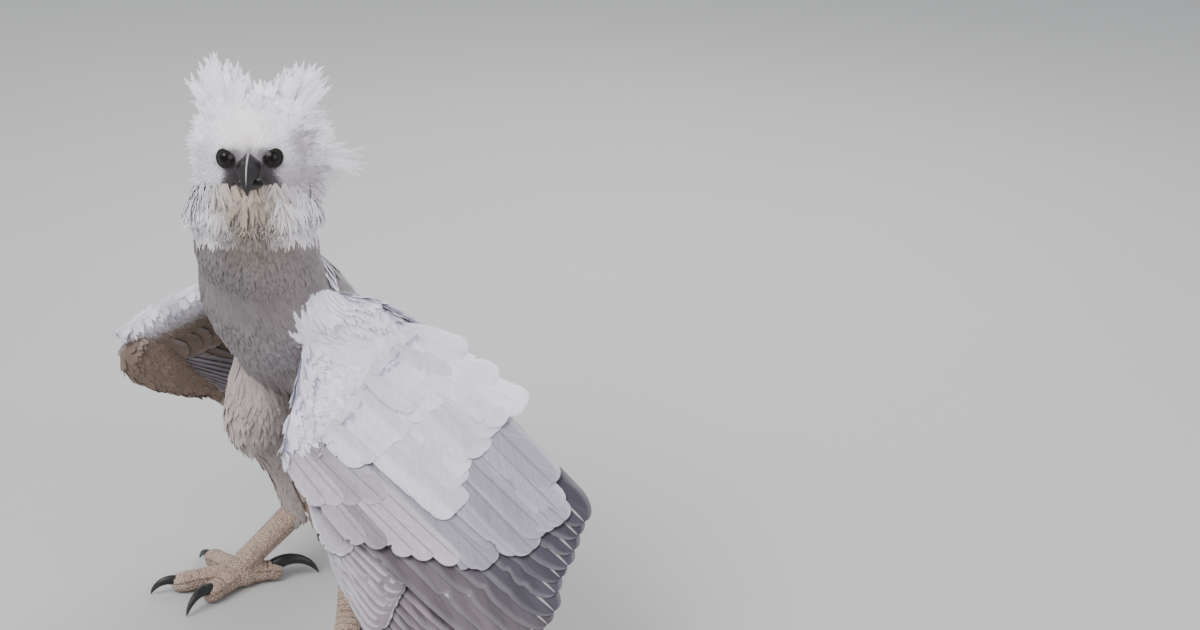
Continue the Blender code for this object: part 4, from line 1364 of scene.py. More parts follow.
RIGHT_WING = WingPlan(
    side="right", lead_shoulder=(-0.070, -0.040, 0.404), elbow=(-0.118, 0.080, 0.366),
    wrist=(-0.208, -0.070, 0.300), out=(0.000, 0.330, -0.944), upper=(-0.880, 0.470, 0.060), droop=-0.03,
    low=0.012, hand=117, primaries=(130, 119), secondaries=(112, 122), bend=10, hand_drop=0.018, inner=0.80,
    lead_wrist=(0.022, -0.024),
    arm=((0.0, 0.026, 0.0200), (0.2, 0.030, 0.0200), (0.45, 0.036, 0.0195), (0.7, 0.040, 0.0190),
         (0.9, 0.038, 0.0175), (1.0, 0.030, 0.0100)),
    palm=((-0.10, 0.034, 0.024, 0.0160), (0.05, 0.046, 0.024, 0.0200), (0.3, 0.046, 0.020, 0.0180),
          (0.6, 0.034, 0.015, 0.0130), (0.85, 0.018, 0.012, 0.0092), (1.04, 0.009, 0.0085, 0.0072)),
    humerus=((-0.040, -0.045, 0.412, 0.034), (-0.080, 0.000, 0.406, 0.038), (-0.108, 0.050, 0.388, 0.030),
             (-0.118, 0.080, 0.368, 0.018)),
    lined=True,
)
WINGS = {"left": LEFT_WING, "right": RIGHT_WING}

# Tail
TAIL_BASE = (0.0, 0.118, 0.236)
TAIL_DIP = math.radians(36)
TAIL_YAW = math.radians(13)
TAIL_TURN = np.array(Matrix.Rotation(-TAIL_YAW, 3, "Z"))
TAIL_OUT = TAIL_TURN @ np.array((0.0, math.cos(TAIL_DIP), -math.sin(TAIL_DIP)))
TAIL_UPPER = TAIL_TURN @ np.array((0.0, math.sin(TAIL_DIP), math.cos(TAIL_DIP)))
TAIL_ROOT = ((-0.012, 0.034, 0.024), (0.020, 0.036, 0.022), (0.050, 0.032, 0.015), (0.074, 0.020, 0.006))


def humerus_rows(plan: WingPlan) -> tuple[tuple[float, ...], ...]:
    """Stations of an upper arm as design rows."""
    return tuple((x, y, z, radius, radius * 0.86) for x, y, z, radius in plan.humerus)


def tail_rows() -> tuple[tuple[float, ...], ...]:
    """Stations of the tail's root as design rows."""
    return tuple((*(np.array(TAIL_BASE) + TAIL_OUT * along - TAIL_UPPER * 0.006), wide, tall)
                 for along, wide, tall in TAIL_ROOT)


def limbs() -> list[Limb]:
    """The forms under the skin that are plain tubes, with the lie of their coats.

    Returns:
        The limbs.
    """
    made = [
        Limb("torso", trunk_rows(), depth=0.008, sides=32),
        Limb("neck", lean_rows(), depth=0.009, sides=32),
        Limb("head", head_rows(), across=tuple(head_vector(1, 0, 0)), depth=0.005, sides=32),
        Limb("tail", tail_rows(), across=tuple(TAIL_TURN @ np.array((1.0, 0, 0))), depth=0.004),
    ]
    for side, plan in WINGS.items():
        sheet = plan.sheet()
        lie = tuple(sheet.direction(math.radians(plan.secondaries[0] + 6)))
        made.append(Limb(f"thigh_{side}", thigh_rows(side), depth=0.0055))
        made.append(Limb(f"tarsus_{side}", tarsus_rows(side), depth=0.0008, sides=16))
        made.append(Limb(f"humerus_{side}", humerus_rows(plan), across=(0.0, 0.0, 1.0), lie=lie, depth=0.006))
    return made


class Part(Enum):
    """The parts of the body that have a coat of their own."""

    TORSO = 0
    NECK = 1
    HEAD = 2
    TAIL = 3
    THIGH = 4
    SHANK = 5
    SHOULDER = 6
    ARM = 7
    HAND = 8


# Ground colours, as linear red, green and blue; some hold painted shade or a painted highlight, as noted at
# each
BILL_DARK = np.array((0.016, 0.014, 0.015))
# Painted highlight: a pale glint along the ridge of the bill
CULMEN_GLINT = np.array((0.400, 0.370, 0.380))
CERE_GREY = np.array((0.060, 0.054, 0.058))
CROWN = np.array((0.860, 0.850, 0.930))
FOREHEAD = np.array((0.960, 0.890, 0.870))
CHEEK = np.array((0.780, 0.735, 0.780))
# Partly a grey smudge of the face, partly painted shade on the side of the face away from the light
SMUDGE_AND_SHADE = np.array((0.280, 0.235, 0.250))
LORE = np.array((0.070, 0.058, 0.064))
BRIDGE = np.array((0.190, 0.168, 0.182))
THROAT = np.array((0.560, 0.455, 0.380))
# Partly the neck's own dark tone, partly painted shade under the head
COLLAR_AND_SHADE = np.array((0.180, 0.148, 0.125))
CHEST = np.array((0.265, 0.236, 0.250))
# Partly the neck's own grey, partly painted shade under the head
NECK = np.array((0.205, 0.178, 0.180))
# Painted shade: the belly as it looks in shade, darker than its own pale feathers
BELLY_IN_SHADE = np.array((0.185, 0.150, 0.145))
BREAST_PATCH = np.array((0.420, 0.390, 0.405))
BACK = np.array((0.440, 0.410, 0.450))
MANTLE = np.array((0.640, 0.600, 0.670))
THIGH = np.array((0.430, 0.375, 0.355))
WING_WHITE = np.array((0.800, 0.780, 0.880))
WING_GREY = np.array((0.560, 0.540, 0.630))
# Painted shade: the pale underside of the wing as it looks in shade, tan-brown
UNDERWING_IN_SHADE = np.array((0.205, 0.148, 0.114))
LEG = np.array((0.520, 0.400, 0.330))
# Spots of the face as (share, place, radius) or (place, radius), with the place from the head's middle
# The smudge spots are partly painted shade, strongest on the bird's left cheek
SMUDGE_AND_SHADE_SPOTS = ((0.75, (0.052, 0.012, 0.016), 0.026), (0.62, (0.046, 0.014, -0.026), 0.040),
                (0.35, (-0.044, 0.016, 0.002), 0.022))
BRIDGE_SPOTS = (((0.014, 0.023, 0.004), 0.0125), ((-0.014, 0.023, 0.004), 0.0125),
                ((0.0, 0.023, 0.004), 0.0115))
LORE_SPOTS = (((0.016, 0.022, -0.014), 0.0165), ((0.0240, 0.021, -0.001), 0.0160),
              ((0.018, 0.020, -0.022), 0.0130), ((0.023, 0.020, -0.029), 0.0130))


# The back begins behind a plane through this height, which leans by this slope
BACK_HEIGHT = 0.36
BACK_SLOPE = 0.9


def toward_back(points: Array) -> Array:
    """How far frame points lie behind the plane where the back begins."""
    local = points - SHIFT
    return local[:, 1] + BACK_SLOPE * (local[:, 2] - BACK_HEIGHT)


def blend(colours: Array, colour: Array, share: Array) -> Array:
    """Colours moved to another by shares from 0 to 1."""
    return colours + (colour - colours) * np.clip(share, 0, 1)[:, None]


def spot(points: Array, centre: Array, radius: float) -> Array:
    """A soft round share, 1 at the centre and 0 past the radius."""
    return 1 - smooth(np.linalg.norm(points - centre, axis=1), 0.35 * radius, radius)


@dataclass
class BodyMap:
    """Which part of the body a point belongs to, how its feathers lie and what colour they are."""

    limbs: list[Limb] = field(default_factory=limbs)

    SOFTNESS = 0.012

    def read(self, points: Array) -> tuple[Array, Array, Array]:
        """Reads points on or near the skin.

        Args:
            points: The points.

        Returns:
            The part of each, the lie of its feathers, and its share of a wing's underside, which takes painted
            shade.
        """
        weights, lies, parts = [], [], []
        for limb in self.limbs:
            away, lie = limb.reach(points)
            if limb.name == "head":
                lie = unit(points - on_head(FACE_MIDDLE))
            kind = {"humerus": Part.SHOULDER, "tarsus": Part.SHANK}.get(limb.name.split("_")[0])
            parts.append(kind or Part[limb.name.split("_")[0].upper()])
            weights.append(away)
            lies.append(lie)
        under = np.zeros(len(points))
        for plan in WINGS.values():
            sheet = plan.sheet()
            for part, depth, angle in ((Part.ARM, 0.0, np.mean(plan.secondaries)),
                                       (Part.HAND, 0.0, np.mean(plan.primaries))):
                rings = plan.arm_rings(depth) if part is Part.ARM else plan.palm_rings(depth)
                away = ring_distance(points, rings)
                weights.append(away)
                lies.append(np.tile(sheet.direction(math.radians(angle)), (len(points), 1)))
                parts.append(part)
                over = (points - sheet.origin) @ sheet.upper
                # The share of the underside, and so of its painted shade, is small at the leading edge
                below = smooth((points - sheet.origin) @ sheet.out, -0.032, 0.004)
                under = np.maximum(under, (away < 0.012) * smooth(-over, 0.0, 0.010) * (0.08 + 0.92 * below))
        weights, lies = np.array(weights), np.array(lies)
        nearest = weights.argmin(axis=0)
        share = np.exp(-(weights - weights.min(axis=0)) / self.SOFTNESS)
        lie = unit((share[..., None] * lies).sum(axis=0))
        return np.array([part.value for part in parts])[nearest], lie, under

    def colours(self, points: Array, part: Array, under: Array) -> Array:
        """The markings: the ground colour at each point, with painted shade on parts of the body.

        Args:
            points: The points.
            part: Their parts of the body.
            under: How much each is on a wing's underside, which takes painted shade.

        Returns:
            Linear colours.
        """
        side, forward, up = head_places(points).T
        grounds = {Part.TORSO: CHEST, Part.NECK: CHEST, Part.HEAD: CROWN, Part.TAIL: BACK, Part.THIGH: THIGH,
                   Part.SHANK: LEG, Part.SHOULDER: WING_WHITE, Part.ARM: WING_WHITE, Part.HAND: WING_WHITE}
        table = np.array([grounds[kind] for kind in Part])
        found = table[part]
        trunk = (part == Part.TORSO.value) | (part == Part.NECK.value)
        local = points - SHIFT
        behind = smooth(toward_back(points), 0.02, 0.10) * trunk
        found = blend(found, BACK, behind)
        mantle = smooth(np.abs(local[:, 0] - 0.02), 0.030, 0.080) * smooth(local[:, 2], 0.33, 0.38)
        found = blend(found, MANTLE, mantle * trunk * smooth(-local[:, 2], -0.47, -0.43)
                      * smooth(local[:, 1], -0.11, -0.06))
        # Painted shade: the lower torso darkens to the belly's shaded tone
        low = smooth(-local[:, 2], -0.34, -0.24) * (part == Part.TORSO.value) * (1 - behind)
        found = blend(found, BELLY_IN_SHADE, low)
        # Partly painted shade: the top of the trunk darker under the head
        found = blend(found, NECK, smooth(local[:, 2], 0.340, 0.410) * trunk * (1 - behind))
        found = blend(found, BREAST_PATCH, spot(local, np.array((-0.028, -0.118, 0.300)), 0.050) * trunk)
        winged = part >= Part.SHOULDER.value
        found = blend(found, WING_GREY, 0.40 * smooth(ripple(points, 0.050, 3), 0.2, 0.9) * winged)
        # Painted shade over the wing's underside
        found = blend(found, UNDERWING_IN_SHADE, under)
        head = (part == Part.HEAD.value) | ((part == Part.NECK.value) & (up > -0.085))
        found = blend(found, CHEEK, smooth(-up, -0.030, 0.045) * head * 0.9)
        face = np.stack([side, forward, up], 1)
        found = blend(found, FOREHEAD, spot(face, np.array((0, 0.048, 0.026)), 0.030) * head)
        throat = np.stack([side * 0.75, forward, (up + 0.060) * 1.1], 1)
        found = blend(found, THROAT, spot(throat, np.array((-0.004, 0.050, 0.0)), 0.045) * head)
        # Partly painted shade: a dark patch under the chin
        collar_and_shade = np.stack([side * 0.6, forward * 0.6, up + 0.088], 1)
        found = blend(found, COLLAR_AND_SHADE, 0.8 * spot(collar_and_shade, np.array((0, 0.030, 0.0)), 0.038) * (forward > 0))
        # Grey smudge of the face, partly painted shade on its side away from the light
        smudge_and_shade = np.stack([side, forward * 0.6, up], 1)
        for share, place, radius in SMUDGE_AND_SHADE_SPOTS:
            found = blend(found, SMUDGE_AND_SHADE, share * spot(smudge_and_shade, np.array(place), radius) * head)
        flat = np.stack([side, forward * 0.5, up], 1)
        for place, radius in BRIDGE_SPOTS:
            found = blend(found, BRIDGE, 0.9 * spot(flat, np.array(place), radius) * head)
        for way in (-1, 1):
            for place, radius in LORE_SPOTS:
                found = blend(found, LORE, 0.96 * spot(flat, np.array(place) * (way, 1, 1), radius) * head)
        tone = 1 + 0.10 * ripple(points, 0.035, 5) + 0.07 * ripple(points, 0.090, 6)
        return np.clip(found * tone[:, None], 0.01, 0.95)

    def head_colours(self, points: Array) -> Array:
        """The markings of points of the head."""
        return self.colours(points, np.full(len(points), Part.HEAD.value), np.zeros(len(points)))


def ring_distance(points: Array, rings: Array) -> Array:
    """How far points are from a flat limb given as rings, less than 0 inside.

    Args:
        points: The points.
        rings: Rings of the limb.

    Returns:
        A distance for each point.
    """
    form = loft(rings)
    tree = BVHTree.FromPolygons(form.points.tolist(), form.triangles.tolist())
    away = np.empty(len(points))
    for index, point in enumerate(points):
        place, normal, _, distance = tree.find_nearest(Vector(point), 0.08)
        if place is None:
            away[index] = 0.08
        else:
            away[index] = distance if (Vector(point) - place).dot(normal) > 0 else -distance
    return away


class Skin:
    """One skin over all the flesh of the bird."""

    VOXEL = 0.0030
    SMOOTHING = 5
    EASING = 80
    FILLING = 220
    ARM_DEPTH = 0.0045
    PALM_DEPTH = 0.0035
    TOE_DEPTH = 0.0006
    BROW = ((0.004, 0.046, 0.012, 0.006), (0.014, 0.050, 0.0155, 0.0058),
            (0.026, 0.045, 0.0160, 0.0056), (0.038, 0.034, 0.012, 0.0050))

    def __init__(self, body: BodyMap) -> None:
        """Keeps the body's map."""
        self.body = body

    def forms(self) -> list[Shape]:
        """The closed forms that the skin is drawn over.

        Returns:
            The forms.
        """
        shapes = [limb.shape() for limb in self.body.limbs]
        for side, plan in WINGS.items():
            shapes += [loft(plan.arm_rings(self.ARM_DEPTH)), loft(plan.palm_rings(self.PALM_DEPTH))]
            for _, degrees, length, _, _ in TOES:
                rows = np.array(toe_rows(side, degrees, length))
                rows[:, :3] += SHIFT
                ahead = toe_heading(side, degrees)
                rings = tube(rows, 14, 24, beside(ahead), self.TOE_DEPTH)
                rings[..., 2] = np.maximum(rings[..., 2], 0.0)
                shapes.append(loft(rings))
            foot = np.array(LEG_PLACES[side][3]) + SHIFT
            turns = np.linspace(0.05, math.pi - 0.05, 12)
            rows = [(foot[0], foot[1], max(PAD_HEIGHT - 0.8 * PAD_RADIUS * math.cos(t), 0.0),
                     PAD_RADIUS * math.sin(t), PAD_RADIUS * math.sin(t)) for t in turns]
            rows = [row for row in rows if row[2] > 0 or row is rows[3]]
            shapes.append(loft(tube(rows, 16, 12, np.array((1.0, 0, 0)))))
        for way in (-1, 1):
            rows = [(*on_head((way * side, forward, up)), radius, radius)
                    for side, forward, up, radius in self.BROW]
            shapes.append(loft(tube(rows, 12, 12, head_vector(0, 0, 1))))
        return shapes

    def build(self) -> bpy.types.Object:
        """Makes the skin.

        Returns:
            The skin, which replaces every node of flesh.
        """
        rough = mesh_object("skin", joined(self.forms()))
        remesh = rough.modifiers.new("Voxels", "REMESH")
        remesh.mode, remesh.voxel_size = "VOXEL", self.VOXEL
        relax = rough.modifiers.new("Relax", "SMOOTH")
        relax.factor, relax.iterations = 0.5, self.SMOOTHING
        graph = bpy.context.evaluated_depsgraph_get()
        mesh = bpy.data.meshes.new_from_object(rough.evaluated_get(graph))
        rough.modifiers.clear()
        rough.data = mesh
        mesh.shade_smooth()
        self.points = gathered(mesh.vertices, "co", 3)
        part, _, under = self.body.read(self.points)
        edges = gathered(mesh.edges, "vertices", 2, np.int32)
        eased = np.isin(part, [kind.value for kind in (Part.TORSO, Part.NECK, Part.SHOULDER, Part.TAIL)])
        self.points = relaxed(self.points, edges, 0.7 * eased, self.EASING)
        away = gathered(mesh.vertices, "normal", 3)
        self.points = relaxed(self.points, edges, 0.9 * eased, self.FILLING, away)
        self.points[:, 2] = np.maximum(self.points[:, 2], 0.0)
        mesh.vertices.foreach_set("co", self.points.astype(np.float32).ravel())
        self.unwrap(rough)
        mesh.calc_loop_triangles()
        self.triangles = gathered(mesh.loop_triangles, "vertices", 3, np.int32)
        loops = gathered(mesh.loop_triangles, "loops", 3, np.int32)
        self.corner_uv = gathered(mesh.uv_layers["OFBake"].data, "uv", 2)[loops]
        self.tree = BVHTree.FromPolygons(self.points.tolist(), self.triangles.tolist())
        paint(rough, self.body.colours(self.points, part, under))
        number(rough, "bare", (part == Part.SHANK.value).astype(float))
        self.read_faces()
        mesh.materials.clear()
        mesh.materials.append(SkinFinish().material())
        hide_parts(*flesh_nodes())
        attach(rough, "root")
        LOG.info("skin: %d triangles", len(self.triangles))
        return rough

    def unwrap(self, obj: bpy.types.Object) -> None:
        """Unwraps the skin's own shape.

        Args:
            obj: The object.
        """
        obj.data.uv_layers.new(name="OFBake")
        bpy.context.view_layer.objects.active = obj
        obj.select_set(True)
        bpy.ops.object.mode_set(mode="EDIT")
        bpy.ops.mesh.select_all(action="SELECT")
        bpy.ops.uv.smart_project(angle_limit=math.radians(66), island_margin=0.003)
        bpy.ops.object.mode_set(mode="OBJECT")
        obj.select_set(False)

    def patch_map(self, roots: Array, vane: Array) -> Array:
        """The bake map of tufts: a small patch at each root's place on the skin's unwrap.

        Args:
            roots: The root of each point's tuft.
            vane: The place of each point on its vane.

        Returns:
            A place on the map for each point.
        """
        firsts, index = np.unique(np.round(roots, 6), axis=0, return_inverse=True)
        middle = np.empty((len(firsts), 2))
        for row, root in enumerate(firsts):
            place, _, face, _ = self.tree.find_nearest(Vector(root))
            corners = self.points[self.triangles[face]]
            shares = barycentric(np.array(place), corners)
            middle[row] = shares @ self.corner_uv[face]
        return middle[index.reshape(-1)] + (vane - 0.5) * 0.003

    def read_faces(self) -> None:
        """Reads the body's map once for each triangle."""
        corners = self.points[self.triangles].astype(float)
        cross = np.cross(corners[:, 1] - corners[:, 0], corners[:, 2] - corners[:, 0])
        self.corners, self.area, self.normal = corners, np.linalg.norm(cross, axis=1) / 2, unit(cross)
        self.middle = corners.mean(axis=1)
        self.part, self.lie, self.under = self.body.read(self.middle)

    def scatter(self, spacing: Array, rng: np.random.Generator) -> tuple[Array, Array]:
        """Spreads roots over the skin.

        Args:
            spacing: The least distance between roots on each triangle, 0 for none.
            rng: Source of the places.

        Returns:
            Roots, and the triangle of each.
        """
        density = np.where(spacing > 0, self.area / np.maximum(spacing, 1e-6) ** 2, 0.0)
        tries = int(density.sum() * 1.9)
        face = rng.choice(len(density), tries, p=density / density.sum())
        a, b = rng.uniform(size=(2, tries))
        over = a + b > 1
        a, b = np.where(over, 1 - a, a)[:, None], np.where(over, 1 - b, b)[:, None]
        start = self.corners[face, 0]
        points = start + (self.corners[face, 1] - start) * a + (self.corners[face, 2] - start) * b
        keep = thinned(points, spacing[face])
        return points[keep], face[keep]


def relaxed(points: Array, edges: Array, share: Array, rounds: int, away: Array | None = None) -> Array:
    """Points moved toward the middle of their neighbours.

    Args:
        points: The points.
        edges: Pairs of neighbours.
        share: How far each moves in one round.
        rounds: How often they move.
        away: Where given, points move only in this direction.

    Returns:
        The moved points.
    """
    one, other = edges.T
    near = np.bincount(edges.ravel(), minlength=len(points))[:, None]
    points = points.astype(float)
    for _ in range(rounds):
        total = [np.bincount(one, points[other, axis], len(points))
                 + np.bincount(other, points[one, axis], len(points)) for axis in range(3)]
        move = np.stack(total, axis=1) / np.maximum(near, 1) - points
        if away is not None:
            move = away * np.maximum(dots(move, away), 0)[:, None]
        points += share[:, None] * move
    return points


def barycentric(point: Array, corners: Array) -> Array:
    """Shares of a triangle's corners at a point on it.

    Args:
        point: A point.
        corners: The triangle's corners.

    Returns:
        The shares of the three corners.
    """
    edge_a, edge_b, toward = corners[1] - corners[0], corners[2] - corners[0], point - corners[0]
    aa, ab, bb = edge_a @ edge_a, edge_a @ edge_b, edge_b @ edge_b
    ta, tb = toward @ edge_a, toward @ edge_b
    scale = max(aa * bb - ab * ab, 1e-20)
    v, w = (bb * ta - ab * tb) / scale, (aa * tb - ab * ta) / scale
    return np.array((1 - v - w, v, w))


def thinned(points: Array, spacing: Array) -> Array:
    """Indices of points that keep their spacing from those taken before them.

    Args:
        points: Points in the order in which they are kept.
        spacing: Least distance from each to the next.

    Returns:
        Which points are kept.
    """
    taken: dict[tuple[int, int, int], list[int]] = {}
    cell = spacing.max()
    keys = np.floor(points / cell).astype(int)
    around = [(x, y, z) for x in (-1, 0, 1) for y in (-1, 0, 1) for z in (-1, 0, 1)]
    kept = []
    for index, (point, gap, key) in enumerate(zip(points, spacing, keys)):
        if gap <= 0:
            continue
        near = [other for x, y, z in around for other in taken.get((key[0] + x, key[1] + y, key[2] + z), ())]
        if near and (((points[near] - point) ** 2).sum(axis=1) < gap * gap).any():
            continue
        taken.setdefault(tuple(key), []).append(index)
        kept.append(index)
    return np.array(kept)


def flesh_nodes() -> list[str]:
    """The nodes of flesh, which the skin replaces.

    Returns:
        The nodes' names.
    """
    names = ["torso", "neck", "head", "tail"]
    for side in ("left", "right"):
        names += [f"thigh_{side}", f"tarsus_{side}", f"foot_{side}", f"wing_{side}_arm", f"wing_{side}_hand"]
    return names


# Coat


@dataclass(frozen=True)
class Tuft:
    """How one kind of small feather grows.

    Attributes:
        form: Form of its blades.
        length: Length of a blade.
        half_width: Half width of a blade.
        blades: Blades from one root.
        fan: Angle that they spread through.
        lift: Angle over the skin at the root.
        droop: How far that angle falls to the tip.
        barbs: Loose barbs on each side of a blade.
        stray: How far the lie strays.
        follow: How far the width follows a tuft's size.
    """

    form: BladeForm
    length: float
    half_width: float
    blades: int = 1
    fan: float = 0.0
    lift: float = 0.30
    droop: float = 0.42
    barbs: int = 0
    stray: float = 0.12
    follow: float = 0.6

    def grow(self, plumage: Plumage, roots: Array, normals: Array, lie: Array, colours: Array, scale: Array,
             rng: np.random.Generator) -> None:
        """Grows tufts into a piece of the coat.

        Args:
            plumage: The piece.
            roots: Roots of the tufts.
            normals: Directions away from the skin.
            lie: Directions in which they lie.
            colours: Ground colour of each tuft.
            scale: Size of each tuft.
            rng: Source of the small differences.
        """
        count = len(roots)
        lie = square_to(lie, normals)
        side = np.cross(lie, normals)
        for blade in range(self.blades):
            share = (blade + 0.5) / self.blades - 0.5
            turn = (share * self.fan + rng.normal(0, self.stray, count))[:, None]
            along = lie * np.cos(turn) + side * np.sin(turn)
            length = self.length * scale * (1.08 - 0.5 * abs(share)) * rng.uniform(0.80, 1.15, count)
            half = self.half_width * scale**self.follow * rng.uniform(0.80, 1.15, count)
            spot = roots + side * (share * self.half_width * 2.2 * scale)[:, None]
            tint = colours * (1 + rng.normal(0, 0.035, count))[:, None]
            chance = rng.uniform(size=count)
            points, triangles, vane = self.form.grow(spot, along, normals, length, half,
                                                     self.lift * rng.uniform(0.75, 1.25, count),
                                                     self.droop * rng.uniform(0.85, 1.15, count),
                                                     rng.normal(0, 0.14, count))
            plumage.add(points, triangles, vane, roots, np.clip(tint, 0, 1), chance, normals)
            self.fringe(plumage, points, normals, roots, np.clip(tint * 1.04, 0, 1), chance, length, half,
                        rng)

    def fringe(self, plumage: Plumage, points: Array, normals: Array, roots: Array, colours: Array,
               chance: Array, length: Array, half: Array, rng: np.random.Generator) -> None:
        """Adds the loose barbs that soften a blade's edge.

        Args:
            plumage: The piece of the coat.
            points: Points of the blades.
            normals: Directions away from the skin.
            roots: Roots of the blades.
            colours: Colours of the blades.
            chance: A number from 0 to 1 for each blade.
            length: Lengths of the blades.
            half: Their half widths.
            rng: Source of the small differences.
        """
        rings, sides = len(self.form.widths), self.form.sides
        for barb in range(self.barbs):
            place = 1 + (rings - 1.2) * barb / max(self.barbs - 1, 1)
            ring = min(int(place), rings - 1)
            left, right = points[:, ring * sides], points[:, ring * sides + 2]
            centre = (left + right) / 2
            after = points[:, -1] if ring == rings - 1 else (
                points[:, (ring + 1) * sides] + points[:, (ring + 1) * sides + 2]) / 2
            centre = centre + (after - centre) * (place - ring)
            ahead = unit(after - centre)
            for edge in (left, right):
                away = unit(edge - (left + right) / 2)
                lean = rng.uniform(0.12, 0.38, len(points))[:, None]
                way = unit(ahead * np.cos(lean) + away * np.sin(lean))
                up = square_to(normals, way)
                start = centre + away * (half * 0.62)[:, None] * self.form.widths[ring]
                reach = length * rng.uniform(0.12, 0.24, len(points))
                shape, triangles, vane = WISP.grow(start, way, up, reach, half * 0.13 + 0.0003,
                                                   np.full(len(points), 0.03), np.full(len(points), 0.12),
                                                   rng.normal(0, 0.25, len(points)))
                vane = vane * (1, 1 - ring / rings) + (0, ring / rings)
                plumage.add(shape, triangles, vane, roots, colours, chance, normals)


@dataclass(frozen=True)
class Zone:
    """One piece of the coat: where it grows, and of which feathers.

    Attributes:
        name: The piece's name.
        finish: Finish of its feathers.
        slot: The record's material slot.
        tuft: The feathers.
        spacing: Distance between roots.
    """

    name: str
    finish: Finish
    slot: str
    tuft: Tuft
    spacing: float


NECK_TUFT = Tuft(SOFT, 0.027, 0.0027, blades=5, fan=0.46, lift=0.040, droop=0.055, stray=0.10)
CHEST_TUFT = Tuft(SOFT, 0.030, 0.0031, blades=5, fan=0.50, lift=0.040, droop=0.060, stray=0.10)
THIGH_TUFT = Tuft(SOFT, 0.025, 0.0025, blades=5, fan=0.46, lift=0.045, droop=0.075, stray=0.09)
COVERT_TUFT = Tuft(SOFT, 0.026, 0.0036, blades=5, fan=0.50, lift=0.030, droop=0.045, stray=0.07)
LINING_TUFT = Tuft(SOFT, 0.020, 0.0028, blades=5, fan=0.50, lift=0.025, droop=0.040, stray=0.07)
BACK_TUFT = Tuft(ROUND, 0.040, 0.0085, lift=0.07, droop=0.10, barbs=6, stray=0.07)
HEAD_TUFT = Tuft(SOFT, 0.018, 0.0018, blades=4, fan=0.46, lift=0.060, droop=0.080, stray=0.13)
BEARD_TUFT = Tuft(SOFT, 1.0, 0.0023, blades=6, fan=0.62, lift=0.70, droop=0.92, barbs=2, stray=0.16,
                  follow=0.0)
RUFF_TUFT = Tuft(SOFT, 1.0, 0.0042, blades=3, fan=0.34, lift=0.06, droop=0.34, barbs=5, stray=0.10,
                 follow=0.0)
CREST_TUFT = Tuft(ROUND, 1.0, 0.0072, blades=2, fan=0.22, lift=0.05, droop=0.30, barbs=10, stray=0.08,
                  follow=0.0)

NECK_ZONE = Zone("neck_coat", Finish.DOWN, "mantle", NECK_TUFT, 0.0054)
CHEST_ZONE = Zone("chest_coat", Finish.DOWN, "mantle", CHEST_TUFT, 0.0058)
BACK_ZONE = Zone("back_coat", Finish.CONTOUR, "mantle", BACK_TUFT, 0.0098)
THIGH_ZONE = Zone("thigh_coat", Finish.DOWN, "plumage", THIGH_TUFT, 0.0062)
HEAD_ZONE = Zone("head_coat", Finish.DOWN, "plumage", HEAD_TUFT, 0.0031)


